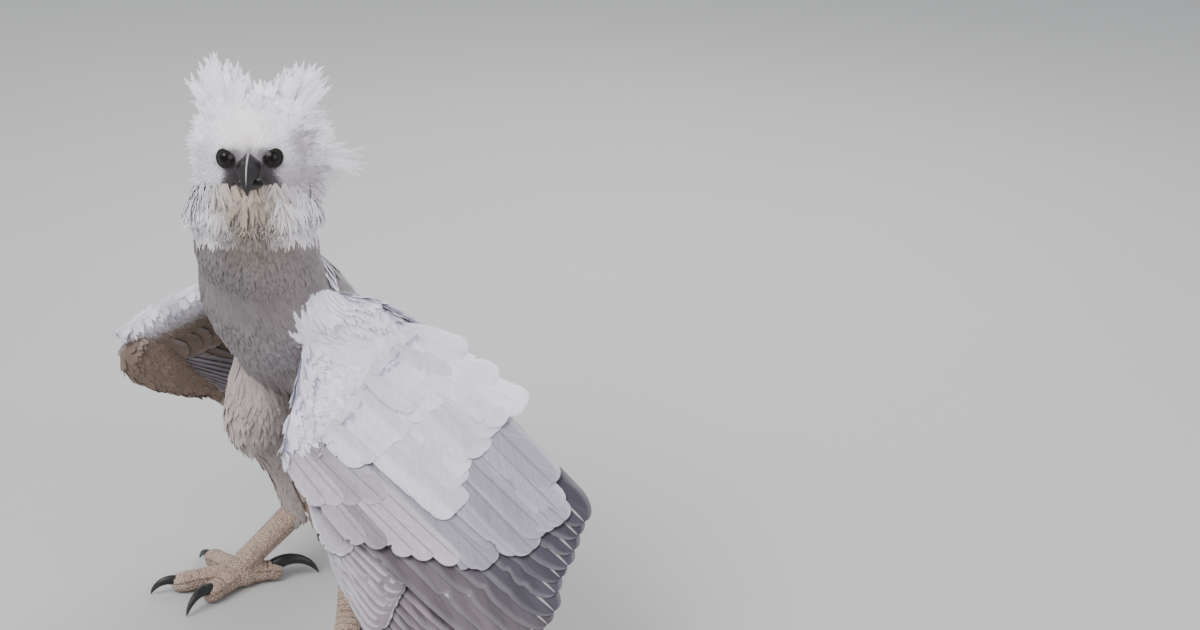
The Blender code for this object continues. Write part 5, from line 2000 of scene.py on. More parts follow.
class Coat:
    """The small feathers over the skin."""

    SOFT = 0.72
    BACK_START = 0.055
    UNDER_START = 0.06
    EYE_CLEAR = 0.0126
    BILL_CLEAR = 0.019
    BILL_FRONT = 0.036
    BILL_TOP = (0.0, 0.052, -0.010)

    def __init__(self, skin: Skin) -> None:
        """Keeps the skin and works out the masks of the zones.

        Args:
            skin: The skin.
        """
        self.skin = skin
        self.behind = toward_back(skin.middle) > self.BACK_START
        self.side, self.forward, self.up = head_places(skin.middle).T

    def of(self, *parts: Part) -> Array:
        """Which triangles belong to any of these parts of the body."""
        return np.isin(self.skin.part, [part.value for part in parts])

    def grow(self, zone: Zone, where: Array, scale: Array | None = None, closer: Array | None = None) -> None:
        """Grows one zone.

        Args:
            zone: The zone.
            where: The triangles that it covers.
            scale: Size of the feathers on each triangle.
            closer: Share of the zone's spacing on each triangle.
        """
        rng = np.random.default_rng(SEED + len(zone.name))
        spacing = zone.spacing * where * (1.0 if closer is None else closer)
        roots, face = self.skin.scatter(spacing, rng)
        sizes = np.ones(len(face)) if scale is None else scale[face]
        body = self.skin.body
        colours = body.colours(roots, self.skin.part[face], self.skin.under[face])
        plumage = Plumage(zone.name, zone.finish, zone.slot, soft=self.SOFT)
        zone.tuft.grow(plumage, roots, self.skin.normal[face], self.skin.lie[face], colours, sizes, rng)
        plumage.build(self.skin)

    def build(self) -> None:
        """Makes every zone of the coat."""
        self.grow(NECK_ZONE, self.of(Part.NECK))
        self.grow(CHEST_ZONE, self.of(Part.TORSO) & ~self.behind)
        self.grow(BACK_ZONE, (self.of(Part.TORSO) & self.behind) | self.of(Part.TAIL))
        height = self.skin.middle[:, 2]
        self.grow(THIGH_ZONE, self.of(Part.THIGH), 0.45 + 0.55 * smooth(height, 0.09, 0.20),
                  0.60 + 0.40 * smooth(height, 0.09, 0.20))
        wing = self.of(Part.SHOULDER, Part.ARM, Part.HAND)
        left = self.skin.middle[:, 0] - SHIFT[0] > 0
        for name, side, closer in (("left", left, 1.0), ("right", ~left, 0.80)):
            under = self.skin.under >= self.UNDER_START
            upper, lower = wing & side & ~under, wing & side & under
            sizes = np.full(len(upper), closer)
            self.grow(Zone(f"wing_{name}_lesser_coverts", Finish.LESSER, "mantle", COVERT_TUFT, 0.0062),
                      upper, sizes, sizes)
            self.grow(Zone(f"wing_{name}_lining", Finish.DOWN, "mantle", LINING_TUFT, 0.0058),
                      lower, sizes, sizes)
        self.grow_head()

    def grow_head(self) -> None:
        """Makes the short feathers of the head, which lengthen away from the bill."""
        away = np.linalg.norm(self.skin.middle - on_head(self.BILL_TOP), axis=1)
        eyes = [np.linalg.norm(self.skin.middle - on_head(EYE_SHOWN * (way, 1, 1)), axis=1)
                for way in (-1, 1)]
        bill = (away < self.BILL_CLEAR) & (self.forward > self.BILL_FRONT)
        clear = (np.minimum(*eyes) > self.EYE_CLEAR) & ~bill
        scale = 0.22 + 0.78 * smooth(away, 0.015, 0.080)
        closer = 0.62 + 0.38 * smooth(away, 0.020, 0.080)
        self.grow(HEAD_ZONE, self.of(Part.HEAD) & clear, scale, closer)


# Ruff and crest


def upright(along: Array) -> Array:
    """The forward direction of the head, made square to the feathers' directions."""
    return square_to(np.tile(head_vector(0, 1, 0), (len(along), 1)), along)


@dataclass(frozen=True)
class Ruff:
    """The soft disc of feathers that stands round the face, and the beard under it.

    Attributes:
        outline: Reach of the disc from the bird's left, over the crown and round, at even angles.
        tiers: Place forward, root radius, share of the outline, how far the tip is drawn back, and feathers.
        lobes: Soft lobes round the disc's edge.
        blown: How much longer the loose feathers are where the wind lifts them.
        blown_turn: Where that is, as an angle from the head's left.
        beard: Rows of the beard as height, length and feathers.
        jowl: How far round the beard goes.
    """

    outline: tuple[float, ...] = (0.086, 0.090, 0.078, 0.090, 0.080, 0.086, 0.074, 0.092)
    tiers: tuple[tuple[float, float, float, float, int], ...] = (
        (0.024, 0.042, 0.76, 0.006, 60), (0.012, 0.046, 0.86, 0.012, 70), (0.000, 0.050, 0.94, 0.018, 76),
        (-0.014, 0.052, 1.00, 0.024, 76), (-0.030, 0.050, 0.98, 0.032, 66), (-0.046, 0.036, 0.80, 0.034, 44))
    lobes: int = 9
    blown: float = 0.40
    blown_turn: float = -0.02
    beard: tuple[tuple[float, float, int], ...] = (
        (-0.026, 0.034, 44), (-0.033, 0.037, 48), (-0.040, 0.039, 52), (-0.047, 0.039, 54),
        (-0.053, 0.036, 54))
    jowl: float = math.radians(118)

    def build(self, skin: Skin) -> None:
        """Makes the ruff and the beard.

        Args:
            skin: The skin.
        """
        rng = np.random.default_rng(SEED)
        plumage = Plumage("ruff", Finish.DOWN, "plumage", soft=0.6)
        for forward, inner, outer, back, count in self.tiers:
            turn = 2 * math.pi * (np.arange(count) + rng.uniform(-0.3, 0.3, count)) / count
            turn = turn[np.sin(turn) > -0.80]
            count = len(turn)
            away = np.interp(turn % (2 * math.pi), np.linspace(0, 2 * math.pi, 9),
                             self.outline + self.outline[:1])
            off = (turn - self.blown_turn + math.pi) % (2 * math.pi) - math.pi
            gust = self.blown * np.exp(-(off / 0.16) ** 2) * rng.uniform(0, 1, count) * (forward < 0)
            lobes = 0.035 * np.sin(self.lobes * turn + 60 * forward)
            reach = away * (outer + rng.uniform(-0.05, 0.03, count) + lobes + gust)
            ring = (inner * np.cos(turn), np.full(count, forward), 0.92 * inner * np.sin(turn))
            roots = on_head(np.stack(ring, axis=1))
            drawn = forward - back - rng.uniform(0, 0.008, count)
            tips = on_head(np.stack([reach * np.cos(turn), drawn, reach * np.sin(turn)], axis=1))
            colours = skin.body.head_colours(roots * 0.4 + tips * 0.6)
            along = unit(tips - roots)
            RUFF_TUFT.grow(plumage, roots, upright(along), along, colours,
                           np.linalg.norm(tips - roots, axis=1), rng)
        plumage.build(skin)
        plumage = Plumage("beard", Finish.DOWN, "plumage", soft=0.6)
        for height, length, count in self.beard:
            turn = np.linspace(-self.jowl, self.jowl, count) + rng.uniform(-0.02, 0.02, count)
            height = height + rng.uniform(-0.003, 0.003, count) - 0.006 * np.cos(turn)
            roots, normals = self.on_skin(skin, turn, height)
            down = head_vector(0, -0.10, -1) + normals * 0.2
            colours = skin.body.head_colours(roots + down * 0.6 * length)
            puff = 0.90 + 0.16 * np.sin(turn * 7 + 40 * length) + rng.uniform(-0.06, 0.06, count)
            BEARD_TUFT.grow(plumage, roots, normals, unit(down), colours, length * puff, rng)
        plumage.build(skin)

    def on_skin(self, skin: Skin, turn: Array, height: Array) -> tuple[Array, Array]:
        """Places round the throat, found on the skin.

        Args:
            skin: The skin.
            turn: Angles from the front.
            height: Heights in the head's own directions.

        Returns:
            The places, and the skin's direction at each.
        """
        roots, normals = [], []
        for angle, up in zip(turn, height):
            outward = head_vector(math.sin(angle), math.cos(angle), 0)
            start = on_head((0.0, 0.0, up)) + outward * 0.16
            place, normal, _, _ = skin.tree.ray_cast(Vector(start), Vector(-outward))
            roots.append(place)
            normals.append(normal)
        return np.array(roots), np.array(normals)


@dataclass(frozen=True)
class Crest:
    """The two horns of long feathers on the back of the crown, and short ones between them.

    Attributes:
        horns: For each horn, its side, the length of its feathers and their lean.
        per_side: Feathers in a horn.
        fan: Angle that a horn spreads through.
        between: Short feathers between the horns.
    """

    horns: tuple[tuple[int, float, float], ...] = (
        (1, 0.070, math.radians(25)), (-1, 0.086, math.radians(22)))
    per_side: int = 12
    fan: float = math.radians(24)
    between: int = 14

    def build(self, skin: Skin) -> None:
        """Makes the crest.

        Args:
            skin: The skin.
        """
        rng = np.random.default_rng(SEED + 1)
        roots, along, length = [], [], []
        for way, longest, middle in self.horns:
            for index in range(self.per_side):
                share = (index + 0.5) / self.per_side
                lean = middle + self.fan * (share - 0.5) + rng.uniform(-0.06, 0.06)
                roots.append((way * (0.018 + 0.022 * share), -0.016 - 0.016 * rng.uniform(),
                              0.046 - 0.006 * share))
                along.append(head_vector(way * math.sin(lean), -0.30 + rng.uniform(-0.1, 0.1),
                                         math.cos(lean)))
                length.append(longest * (1 - 0.36 * abs(share - 0.5)) * rng.uniform(0.78, 1.04))
        for index in range(self.between):
            side = rng.uniform(-0.024, 0.024)
            roots.append((side, rng.uniform(-0.030, 0.004), 0.048))
            along.append(head_vector(side * 6, -0.45, 1.0))
            length.append(rng.uniform(0.024, 0.044))
        roots, along = on_head(np.array(roots)), unit(np.array(along))
        colours = np.tile(CROWN * 1.02, (len(roots), 1)) * rng.uniform(0.92, 1.04, (len(roots), 1))
        plumage = Plumage("crest", Finish.DOWN, "plumage", soft=0.55)
        CREST_TUFT.grow(plumage, roots, upright(along), along, colours, np.array(length), rng)
        plumage.build(skin)


# Flight feathers and their coverts


FLIGHT_OUTLINE = ((0.0, 0.30), (0.10, 0.50), (0.28, 0.82), (0.62, 1.0), (0.88, 0.96), (1.0, 0.86))
COVERT_OUTLINE = ((0.0, 0.45), (0.20, 0.80), (0.45, 0.97), (0.78, 1.0), (1.0, 0.96))
FLIGHT_FORM = VaneForm(FLIGHT_OUTLINE, near=1.06, far=0.94, rows=44, splits=2, fray=0.006, sweep=0.45,
                       blunt=1.9)
COVERT_FORM = VaneForm(COVERT_OUTLINE, rows=40, splits=2, depth=0.40, camber=0.10, fray=0.010, sweep=0.25)
SECONDARY_GREY = np.array((0.052, 0.047, 0.066))
OUTER_BROWN = np.array((0.120, 0.098, 0.112))
# The secondaries from below: partly their own dark tone, partly painted shade of the drooped wing
UNDER_BROWN_AND_SHADE = np.array((0.075, 0.058, 0.050))
PRIMARY_BROWN = np.array((0.145, 0.112, 0.128))
TAIL_GREY = np.array((0.190, 0.175, 0.185))


@dataclass(frozen=True)
class Tier:
    """A row of coverts along the arm.

    Attributes:
        count: Feathers in the row.
        out: Place of the roots out from the arm.
        spread: Share of the arm that the row covers from the elbow.
        lengths: Lengths of the feathers along the row.
        half_width: Half width of a feather.
        height: Height over the sheet.
        tilt: How much higher the far edge lies.
        colour: Ground colour.
    """

    count: int
    out: float
    spread: float
    lengths: tuple[float, ...]
    half_width: float
    height: float
    tilt: float
    colour: Array


GREATER_TIER = Tier(12, 0.006, 0.80, (0.265, 0.310, 0.310, 0.302, 0.288, 0.264, 0.240), 0.0205, 0.0060, 0.07,
                    np.array((0.310, 0.292, 0.355)))
MEDIAN_TIERS = (
    Tier(11, 0.002, 0.68, (0.168, 0.183, 0.183, 0.178, 0.178, 0.196, 0.212), 0.0200, 0.0100, 0.06,
         np.array((0.620, 0.595, 0.690))),
    Tier(12, -0.002, 0.80, (0.098, 0.113, 0.108, 0.100, 0.096, 0.094, 0.080), 0.0185, 0.0120, 0.05,
         np.array((0.690, 0.665, 0.760))),
)
# Soft coverts of the underside, which close the fold between the arm and the hand
# Their browns are painted shade of the wing's underside, darkest in the longest row
LINING_TIERS = (
    Tier(12, 0.010, 1.0, (0.225, 0.225, 0.200, 0.160), 0.0190, -0.0125, 0.05,
         np.array((0.110, 0.080, 0.064))),
    Tier(12, 0.006, 1.0, (0.145, 0.145, 0.130, 0.110), 0.0180, -0.0155, 0.05,
         np.array((0.150, 0.110, 0.088))),
    Tier(12, 0.000, 1.0, (0.075, 0.075, 0.070, 0.064), 0.0170, -0.0185, 0.05,
         np.array((0.200, 0.148, 0.118))),
)
# Scapulars that scallop the wing's inner edge, as (along, out, degrees, length)
SCAPULARS = ((-0.176, 0.082, 96, 0.112), (-0.160, 0.080, 92, 0.104), (-0.182, 0.040, 97, 0.106),
             (-0.164, 0.036, 92, 0.104), (-0.190, 0.002, 98, 0.092), (-0.172, 0.002, 93, 0.092),
             (-0.150, 0.002, 88, 0.090), (-0.128, 0.002, 84, 0.086))
# Coverts of the outermost secondaries, as (along, out, degrees, length)
OUTER_COVERTS = ((-0.040, 0.008, 78, 0.236), (-0.028, 0.006, 77, 0.214), (-0.018, 0.006, 76, 0.190),
                 (-0.008, 0.004, 74, 0.164), (0.002, 0.002, 72, 0.140), (-0.030, 0.004, 78, 0.120),
                 (-0.016, 0.002, 76, 0.104), (-0.004, 0.000, 74, 0.090), (0.006, -0.004, 71, 0.078))
OUTER_TONE = np.array((0.360, 0.320, 0.365))
HAND_COVERT_TONE = np.array((0.225, 0.190, 0.215))
THUMB_TONE = np.array((0.460, 0.420, 0.480))

PRIMARY_LENGTHS = (0.350, 0.360, 0.372, 0.388, 0.404, 0.416, 0.420, 0.404, 0.366, 0.300)


@dataclass
class Wing:
    """The flight feathers and coverts of one wing."""

    plan: WingPlan
    secondaries: int = 11
    secondary_length: float = 0.385
    half_width: float = 0.025
    hand_step: float = 0.0009
    vane_tilt: float = 0.10

    def add(self, plumage: Plumage, form: VaneForm, base: Array, angle: Array, length: Array, half: Array,
            height: Array, tilt: float, colour: Array, rng: np.random.Generator, rise: float = 0.0) -> None:
        """Adds a row of feathers on the wing's sheet.

        Args:
            plumage: The piece.
            form: Form of the feathers.
            base: Roots on the sheet.
            angle: Directions on the sheet.
            length: Lengths.
            half: Half widths.
            height: Heights over the sheet.
            tilt: How much higher the far edges lie.
            colour: Ground colour.
            rng: Source of the small differences.
            rise: How much higher the roots lie.
        """
        count = len(base)
        length = length * (1 + rng.uniform(-0.012, 0.012, count))
        points, triangles, vane, roots = form.grow(self.plan.sheet(), base, angle, length, half, height, tilt,
                                                   math.radians(self.plan.bend), rng, rise)
        tints = np.atleast_2d(colour) * rng.uniform(0.88, 1.10, (count, 1))
        plumage.add(points, triangles, vane, roots, np.clip(tints, 0, 1), rng.uniform(size=count))

    def angles(self, pair: tuple[float, float], share: Array) -> Array:
        """Directions of a fan of feathers on the sheet."""
        return np.radians(pair[0] + (pair[1] - pair[0]) * share)

    def build(self, skin: Skin) -> None:
        """Makes the wing's feathers.

        Args:
            skin: The skin.
        """
        rng = np.random.default_rng(SEED + (2 if self.plan.side == "left" else 3))
        for plumage in (self.build_secondaries(rng), *self.build_coverts(rng), self.build_primaries(rng),
                        self.build_hand_coverts(rng)):
            plumage.build(skin)

    def build_secondaries(self, rng: np.random.Generator) -> Plumage:
        """The flight feathers of the arm.

        Args:
            rng: Source of the small differences.

        Returns:
            The piece.
        """
        plumage = Plumage(f"wing_{self.plan.side}_secondaries", Finish.SECONDARY, "flight", strips=True)
        share = np.linspace(0, 1, self.secondaries)
        reach = FOREARM + ELBOW_REACH
        base = np.stack([-reach * (1 - share) + 0.002, np.full(len(share), -0.002)], axis=1)
        length = self.secondary_length * (self.plan.inner + (1 - self.plan.inner) * share)
        grey = np.tile(SECONDARY_GREY, (len(share), 1))
        # The drooped wing's secondaries take a dark brown that is partly painted shade
        shade = UNDER_BROWN_AND_SHADE if self.plan.lined else blend(grey, OUTER_BROWN, smooth(share, 0.5, 0.9))
        self.add(plumage, FLIGHT_FORM, base, self.angles(self.plan.secondaries, share), length,
                 np.full(len(share), self.half_width), -0.0003 * np.arange(self.secondaries), self.vane_tilt,
                 shade, rng)
        return plumage

    def add_tier(self, plumage: Plumage, tier: Tier, rng: np.random.Generator) -> None:
        """Adds one row of the arm's coverts.

        Args:
            plumage: The piece.
            tier: The row.
            rng: Source of the small differences.
        """
        share = (np.arange(tier.count) + 0.5) / tier.count
        along = -(FOREARM + ELBOW_REACH) * (1 - share * tier.spread)
        base = np.stack([along, np.full(tier.count, tier.out)], 1)
        length = np.interp(share, np.linspace(0, 1, len(tier.lengths)), tier.lengths)
        angle = self.angles(self.plan.secondaries, share) + rng.normal(0, 0.020, tier.count)
        self.add(plumage, COVERT_FORM, base, angle, length * rng.uniform(0.97, 1.03, tier.count),
                 tier.half_width * rng.uniform(0.92, 1.08, tier.count),
                 tier.height - 0.0003 * np.arange(tier.count), tier.tilt, tier.colour, rng)

    def build_coverts(self, rng: np.random.Generator) -> list[Plumage]:
        """The coverts of the arm and the scapulars that lie on its inner edge.

        Args:
            rng: Source of the small differences.

        Returns:
            The pieces.
        """
        greater = Plumage(f"wing_{self.plan.side}_greater_coverts", Finish.GREATER, "mantle", strips=True)
        self.add_tier(greater, GREATER_TIER, rng)
        median = Plumage(f"wing_{self.plan.side}_median_coverts", Finish.COVERT, "mantle", strips=True)
        for tier in MEDIAN_TIERS:
            self.add_tier(median, tier, rng)
        if not self.plan.lined:
            along, out, degrees, length = np.array(OUTER_COVERTS).T
            self.add(greater, COVERT_FORM, np.stack([along, out], 1), np.radians(degrees), length,
                     np.full(len(along), 0.0175), 0.0042 + 0.0005 * np.arange(len(along)), 0.05,
                     OUTER_TONE * rng.uniform(0.7, 1.5, (len(along), 1)), rng)
        along, out, degrees, length = np.array(SCAPULARS).T
        self.add(median, COVERT_FORM, np.stack([along, out], 1), np.radians(degrees), length,
                 np.full(len(along), 0.0205), 0.0132 - 0.0003 * np.arange(len(along))[::-1], 0.04,
                 MEDIAN_TIERS[1].colour, rng)
        if not self.plan.lined:
            return [greater, median]
        lining = Plumage(f"wing_{self.plan.side}_lining_coverts", Finish.CONTOUR, "mantle", strips=True)
        for tier in LINING_TIERS:
            self.add_tier(lining, tier, rng)
        return [greater, median, lining]

    def build_primaries(self, rng: np.random.Generator) -> Plumage:
        """The flight feathers of the hand.

        Args:
            rng: Source of the small differences.

        Returns:
            The piece.
        """
        plumage = Plumage(f"wing_{self.plan.side}_primaries", Finish.PRIMARY, "flight", strips=True)
        count = len(PRIMARY_LENGTHS)
        share = np.linspace(0, 1, count)
        base = self.plan.hand_direction() * (0.028 + (HAND - 0.022) * share)[:, None]
        height = -self.plan.hand_drop - self.hand_step * np.arange(count)
        self.add(plumage, FLIGHT_FORM, base, self.angles(self.plan.primaries, share),
                 np.array(PRIMARY_LENGTHS), self.half_width * (0.98 - 0.26 * share), height,
                 self.vane_tilt, PRIMARY_BROWN, rng)
        return plumage

    def build_hand_coverts(self, rng: np.random.Generator) -> Plumage:
        """The coverts of the hand and the feathers of the thumb.

        Args:
            rng: Source of the small differences.

        Returns:
            The piece.
        """
        plumage = Plumage(f"wing_{self.plan.side}_hand_coverts", Finish.COVERT, "mantle", strips=True)
        ahead = self.plan.hand_direction()
        drop, step = self.plan.hand_drop, self.hand_step
        share = np.linspace(0, 1, 9)
        self.add(plumage, COVERT_FORM, ahead * (0.022 + (HAND - 0.032) * share)[:, None],
                 self.angles(self.plan.primaries, share), 0.185 - 0.060 * share, np.full(9, 0.0165),
                 0.0078 - drop - step * np.arange(9) * 0.75, 0.05, HAND_COVERT_TONE, rng)
        index = np.arange(3)
        self.add(plumage, COVERT_FORM, ahead * (0.020 + 0.016 * index)[:, None],
                 np.radians(self.plan.primaries[1] - 2 - 2 * index), 0.120 - 0.022 * index,
                 np.full(3, 0.0125), 0.0096 - drop + 0.0011 * index, 0.05, THUMB_TONE, rng)
        return plumage


@dataclass(frozen=True)
class Tail:
    """The tail's twelve flight feathers and their coverts."""

    length: float = 0.352
    fan: float = math.radians(14)
    half_width: float = 0.026
    step: float = 0.0013

    def build(self, skin: Skin) -> None:
        """Makes the tail.

        Args:
            skin: The skin.
        """
        rng = np.random.default_rng(SEED + 4)
        sheet = Sheet(TAIL_BASE, TAIL_TURN @ np.array((1.0, 0, 0)), TAIL_OUT, TAIL_UPPER, -0.02, 0.0145)
        feathers = Plumage("tail_feathers", Finish.TAIL, "flight", strips=True)
        index = np.arange(12)
        sign, share = np.where(index % 2, 1.0, -1.0), (index // 2) / 5
        base = np.stack([sign * (0.003 + 0.017 * share), np.full(12, 0.012)], axis=1)
        grown = FLIGHT_FORM.grow(sheet, base, math.pi / 2 - sign * self.fan * (0.06 + 0.94 * share) / 2,
                                 self.length * (1 - 0.045 * share), np.full(12, self.half_width),
                                 -self.step * index, 0.0, 0.0, rng)
        feathers.add(*grown, np.tile(TAIL_GREY, (12, 1)) * rng.uniform(0.9, 1.1, (12, 1)),
                     rng.uniform(size=12))
        feathers.build(skin)
        coverts = Plumage("tail_coverts", Finish.COVERT, "mantle", strips=True)
        for count, length, height in ((9, 0.150, 0.0080), (9, 0.105, 0.0120)):
            index = np.arange(count)
            sign, share = np.where(index % 2, 1.0, -1.0), (index // 2) / (count // 2)
            base = np.stack([sign * (0.002 + 0.018 * share), np.full(count, 0.004)], axis=1)
            grown = COVERT_FORM.grow(sheet, base, math.pi / 2 - sign * np.radians(2 + 6 * share),
                                     length - 0.020 * share, np.full(count, 0.0190),
                                     height - self.step * 0.6 * index, 0.0, 0.0, rng)
            coverts.add(*grown, np.tile(BACK, (count, 1)) * rng.uniform(0.9, 1.1, (count, 1)),
                        rng.uniform(size=count))
        coverts.build(skin)


# Bare pieces


def dressed(name: str, shape: Shape, colours: Array, material: bpy.types.Material, slot: str,
            *nodes: str) -> bpy.types.Object:
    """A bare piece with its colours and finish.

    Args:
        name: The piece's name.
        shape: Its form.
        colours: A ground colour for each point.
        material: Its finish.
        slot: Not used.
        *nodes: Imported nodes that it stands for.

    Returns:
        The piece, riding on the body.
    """
    obj = mesh_object(name, shape)
    paint(obj, colours)
    obj.data.materials.append(material)
    if nodes:
        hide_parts(*nodes)
    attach(obj, "root")
    LOG.info("%s: %d triangles", name, len(shape.triangles))
    return obj


# The lid's section as (angle behind its rim, share of the eye's radius)
LID_SECTION = ((0.0, 0.985), (0.01, 1.05), (0.06, 1.075), (0.13, 1.060), (0.20, 1.085),
               (0.32, 1.070), (0.45, 1.075), (0.70, 1.04), (0.95, 0.97), (0.40, 0.95))


@dataclass(frozen=True)
class Eyes:
    """Both eyes and their lids."""

    radius: float = EYE_RADIUS
    bulge: float = 0.05
    rim: float = 0.90
    brow: float = 0.12
    sides: int = 56
    lid_sides: int = 96

    def gaze(self, way: int) -> Array:
        """The direction in which an eye looks."""
        return unit(head_vector(way * 0.30, 0.95, 0.06))

    def build(self) -> None:
        """Makes the eyes and lids."""
        wet, lid = EyeFinish().material(), HornFinish("eyelid", 0.75, (500.0, 500.0, 500.0)).material()
        for way, name in ((1, "left"), (-1, "right")):
            centre, gaze = on_head(EYE_SHOWN * (way, 1, 1)), self.gaze(way)
            across = unit(np.cross(gaze, head_vector(0, 0, 1)))
            up = np.cross(across, gaze)
            angle = np.linspace(0.02, math.pi - 0.02, 48)
            turn = np.linspace(0, 2 * math.pi, self.sides, endpoint=False)
            size = self.radius * (1 + self.bulge * smooth(-angle, -0.62, -0.2))
            spoke = across * np.cos(turn)[:, None] + up * np.sin(turn)[:, None]
            rings = centre + gaze * (size * np.cos(angle))[:, None, None] + (
                spoke[None] * (size * np.sin(angle))[:, None, None])
            shape = loft(rings)
            obj = dressed(f"eyeball_{name}", shape, np.full((len(shape.points), 3), 0.02), wet, "eye",
                          f"eye_{name}")
            number(obj, "gaze", np.concatenate([np.repeat(angle, self.sides), (0.0, math.pi)]))
            ring, shade = self.lid_shape(centre, gaze, across, up)
            dressed(f"eyelid_{name}", ring, shade, lid, "plumage")

    def lid_shape(self, centre: Array, gaze: Array, across: Array, up: Array) -> tuple[Shape, Array]:
        """The lids, which fit the eyeball from a dark rim back under the feathers.

        Args:
            centre: Middle of the eye.
            gaze: Direction of the eye.
            across: Direction to its side.
            up: Direction to the brow.

        Returns:
            The closed ring and its colours.
        """
        section, sides = np.array(LID_SECTION), self.lid_sides
        turn = 2 * math.pi * np.arange(sides) / sides
        brow = np.maximum(np.sin(turn), 0)
        angle = self.rim - self.brow * brow[:, None] + section[:, 0]
        folds = 1 + 0.006 * np.sin(turn * 17)[:, None] * np.sin(turn * 5)[:, None]
        size = self.radius * section[:, 1] * folds
        spoke = across * np.cos(turn)[:, None] + up * np.sin(turn)[:, None]
        points = (centre + gaze * (size * np.cos(angle))[..., None]
                  + spoke[:, None] * (size * np.sin(angle))[..., None])
        points = points.reshape(-1, 3)
        many = len(section)
        a = (np.arange(sides)[:, None] * many + np.arange(many)).ravel()
        b = (np.arange(sides)[:, None] * many + (np.arange(many) + 1) % many).ravel()
        c, d = (b + many) % len(points), (a + many) % len(points)
        triangles = np.concatenate([np.stack([a, b, c], 1), np.stack([a, c, d], 1)])
        pale = smooth(np.tile(section[:, 0], sides), 0.08, 0.36)[:, None]
        return Shape(points, faced_out(points, triangles)), 0.008 + (LORE * 1.6 - 0.008) * pale


@dataclass(frozen=True)
class Bill:
    """The hooked bill with its cere, nostrils and mouth line."""

    upper: tuple[tuple[float, ...], ...] = (
        (0.030, -0.009, 0.0170, 0.0165), (0.045, -0.009, 0.0160, 0.0162), (0.058, -0.011, 0.0136, 0.0148),
        (0.0675, -0.016, 0.0106, 0.0120), (0.0750, -0.0245, 0.0070, 0.0082),
        (0.0768, -0.0330, 0.0038, 0.0046), (0.0740, -0.0400, 0.0009, 0.0012))
    lower: tuple[tuple[float, ...], ...] = (
        (0.026, -0.0290, 0.0150, 0.0060), (0.042, -0.0300, 0.0140, 0.0060), (0.055, -0.0308, 0.0110, 0.0050),
        (0.0640, -0.0310, 0.0050, 0.0030), (0.0670, -0.0305, 0.0010, 0.0010))
    nostril: tuple[float, float, float] = (0.0152, 0.052, -0.006)
    cere_end: float = 0.30
    nostril_size: tuple[float, float, float] = (0.006, 0.0030, 0.0016)
    nostril_depth: float = 0.20
    lips: tuple[tuple[float, ...], ...] = (
        (0.0135, 0.0530, -0.0252, 0.0010), (0.0165, 0.0470, -0.0258, 0.0012),
        (0.0190, 0.0420, -0.0268, 0.0012), (0.0205, 0.0380, -0.0280, 0.0008))

    def rows(self, stations: tuple[tuple[float, ...], ...]) -> Array:
        """Stations as rows in the frame."""
        return np.array([(*on_head((0, forward, up)), wide, tall) for forward, up, wide, tall in stations])

    def build(self) -> None:
        """Makes both halves of the bill and the corners of the mouth."""
        horn = HornFinish("bill_horn").material()
        sides, steps = 72, 96
        rings = tube(self.rows(self.upper), sides, steps, head_vector(1, 0, 0))
        share = np.linspace(0, 1, steps + 1)[:, None]
        turn = 2 * math.pi * (np.arange(sides) + 0.5) / sides
        centre = rings.mean(axis=1, keepdims=True)
        away = rings - centre
        lateral = head_vector(1, 0, 0)
        ridge = smooth(np.sin(turn), 0.1, 1.0)[None] * 0.55 * smooth(share, 0.0, 0.3)
        away = away - (away @ lateral)[..., None] * ridge[..., None] * lateral
        cere = 1 - smooth(share, self.cere_end - 0.012, self.cere_end + 0.012)
        edge = np.exp(-((share - self.cere_end) / 0.014) ** 2)
        tooth = np.exp(-((share - 0.56) / 0.05) ** 2) * smooth(-np.sin(turn), 0.5, 0.95)[None]
        away = away * (1 + 0.035 * cere - 0.03 * edge + 0.07 * tooth)[..., None]
        rings = centre + away
        flat = rings.reshape(-1, 3)
        places = head_places(flat)
        for way in (-1, 1):
            off = (places - np.array(self.nostril) * (way, 1, 1)) / self.nostril_size
            pit = np.exp(-(off**2).sum(axis=1))
            flat = flat - away.reshape(-1, 3) * (self.nostril_depth * pit)[:, None]
        rings = flat.reshape(rings.shape)
        shape = loft(rings)
        base = BILL_DARK + (CERE_GREY - BILL_DARK) * cere
        # Painted highlight: a pale glint along the top of the culmen
        glint = (smooth(np.sin(turn), 0.975, 0.997)[None] * smooth(share, 0.0, 0.2)
                 * smooth(-share, -0.85, -0.6))
        colours = blend(np.repeat(base, sides, axis=0), CULMEN_GLINT, glint.ravel())
        colours = np.concatenate([colours, base[:1], base[-1:]])
        dressed("bill_upper", shape, colours, horn, "horn", "beak_upper")
        rings = tube(self.rows(self.lower), 48, 40, head_vector(1, 0, 0))
        shape = loft(rings)
        dressed("bill_lower", shape, np.full((len(shape.points), 3), 0.030), horn, "horn", "beak_lower")
        self.build_gape(horn)

    def build_gape(self, horn: bpy.types.Material) -> None:
        """Makes the dark lips that run back under the eyes.

        Args:
            horn: Finish of the horn.
        """
        lips = []
        for way in (-1, 1):
            rows = np.array([(*on_head((way * side, forward, up)), radius * 0.8, radius)
                             for side, forward, up, radius in self.lips])
            lips.append(loft(tube(rows, 14, 24, head_vector(0, 0, 1))))
        shape = joined(lips)
        dressed("bill_gape", shape, np.full((len(shape.points), 3), 0.035), horn, "horn")


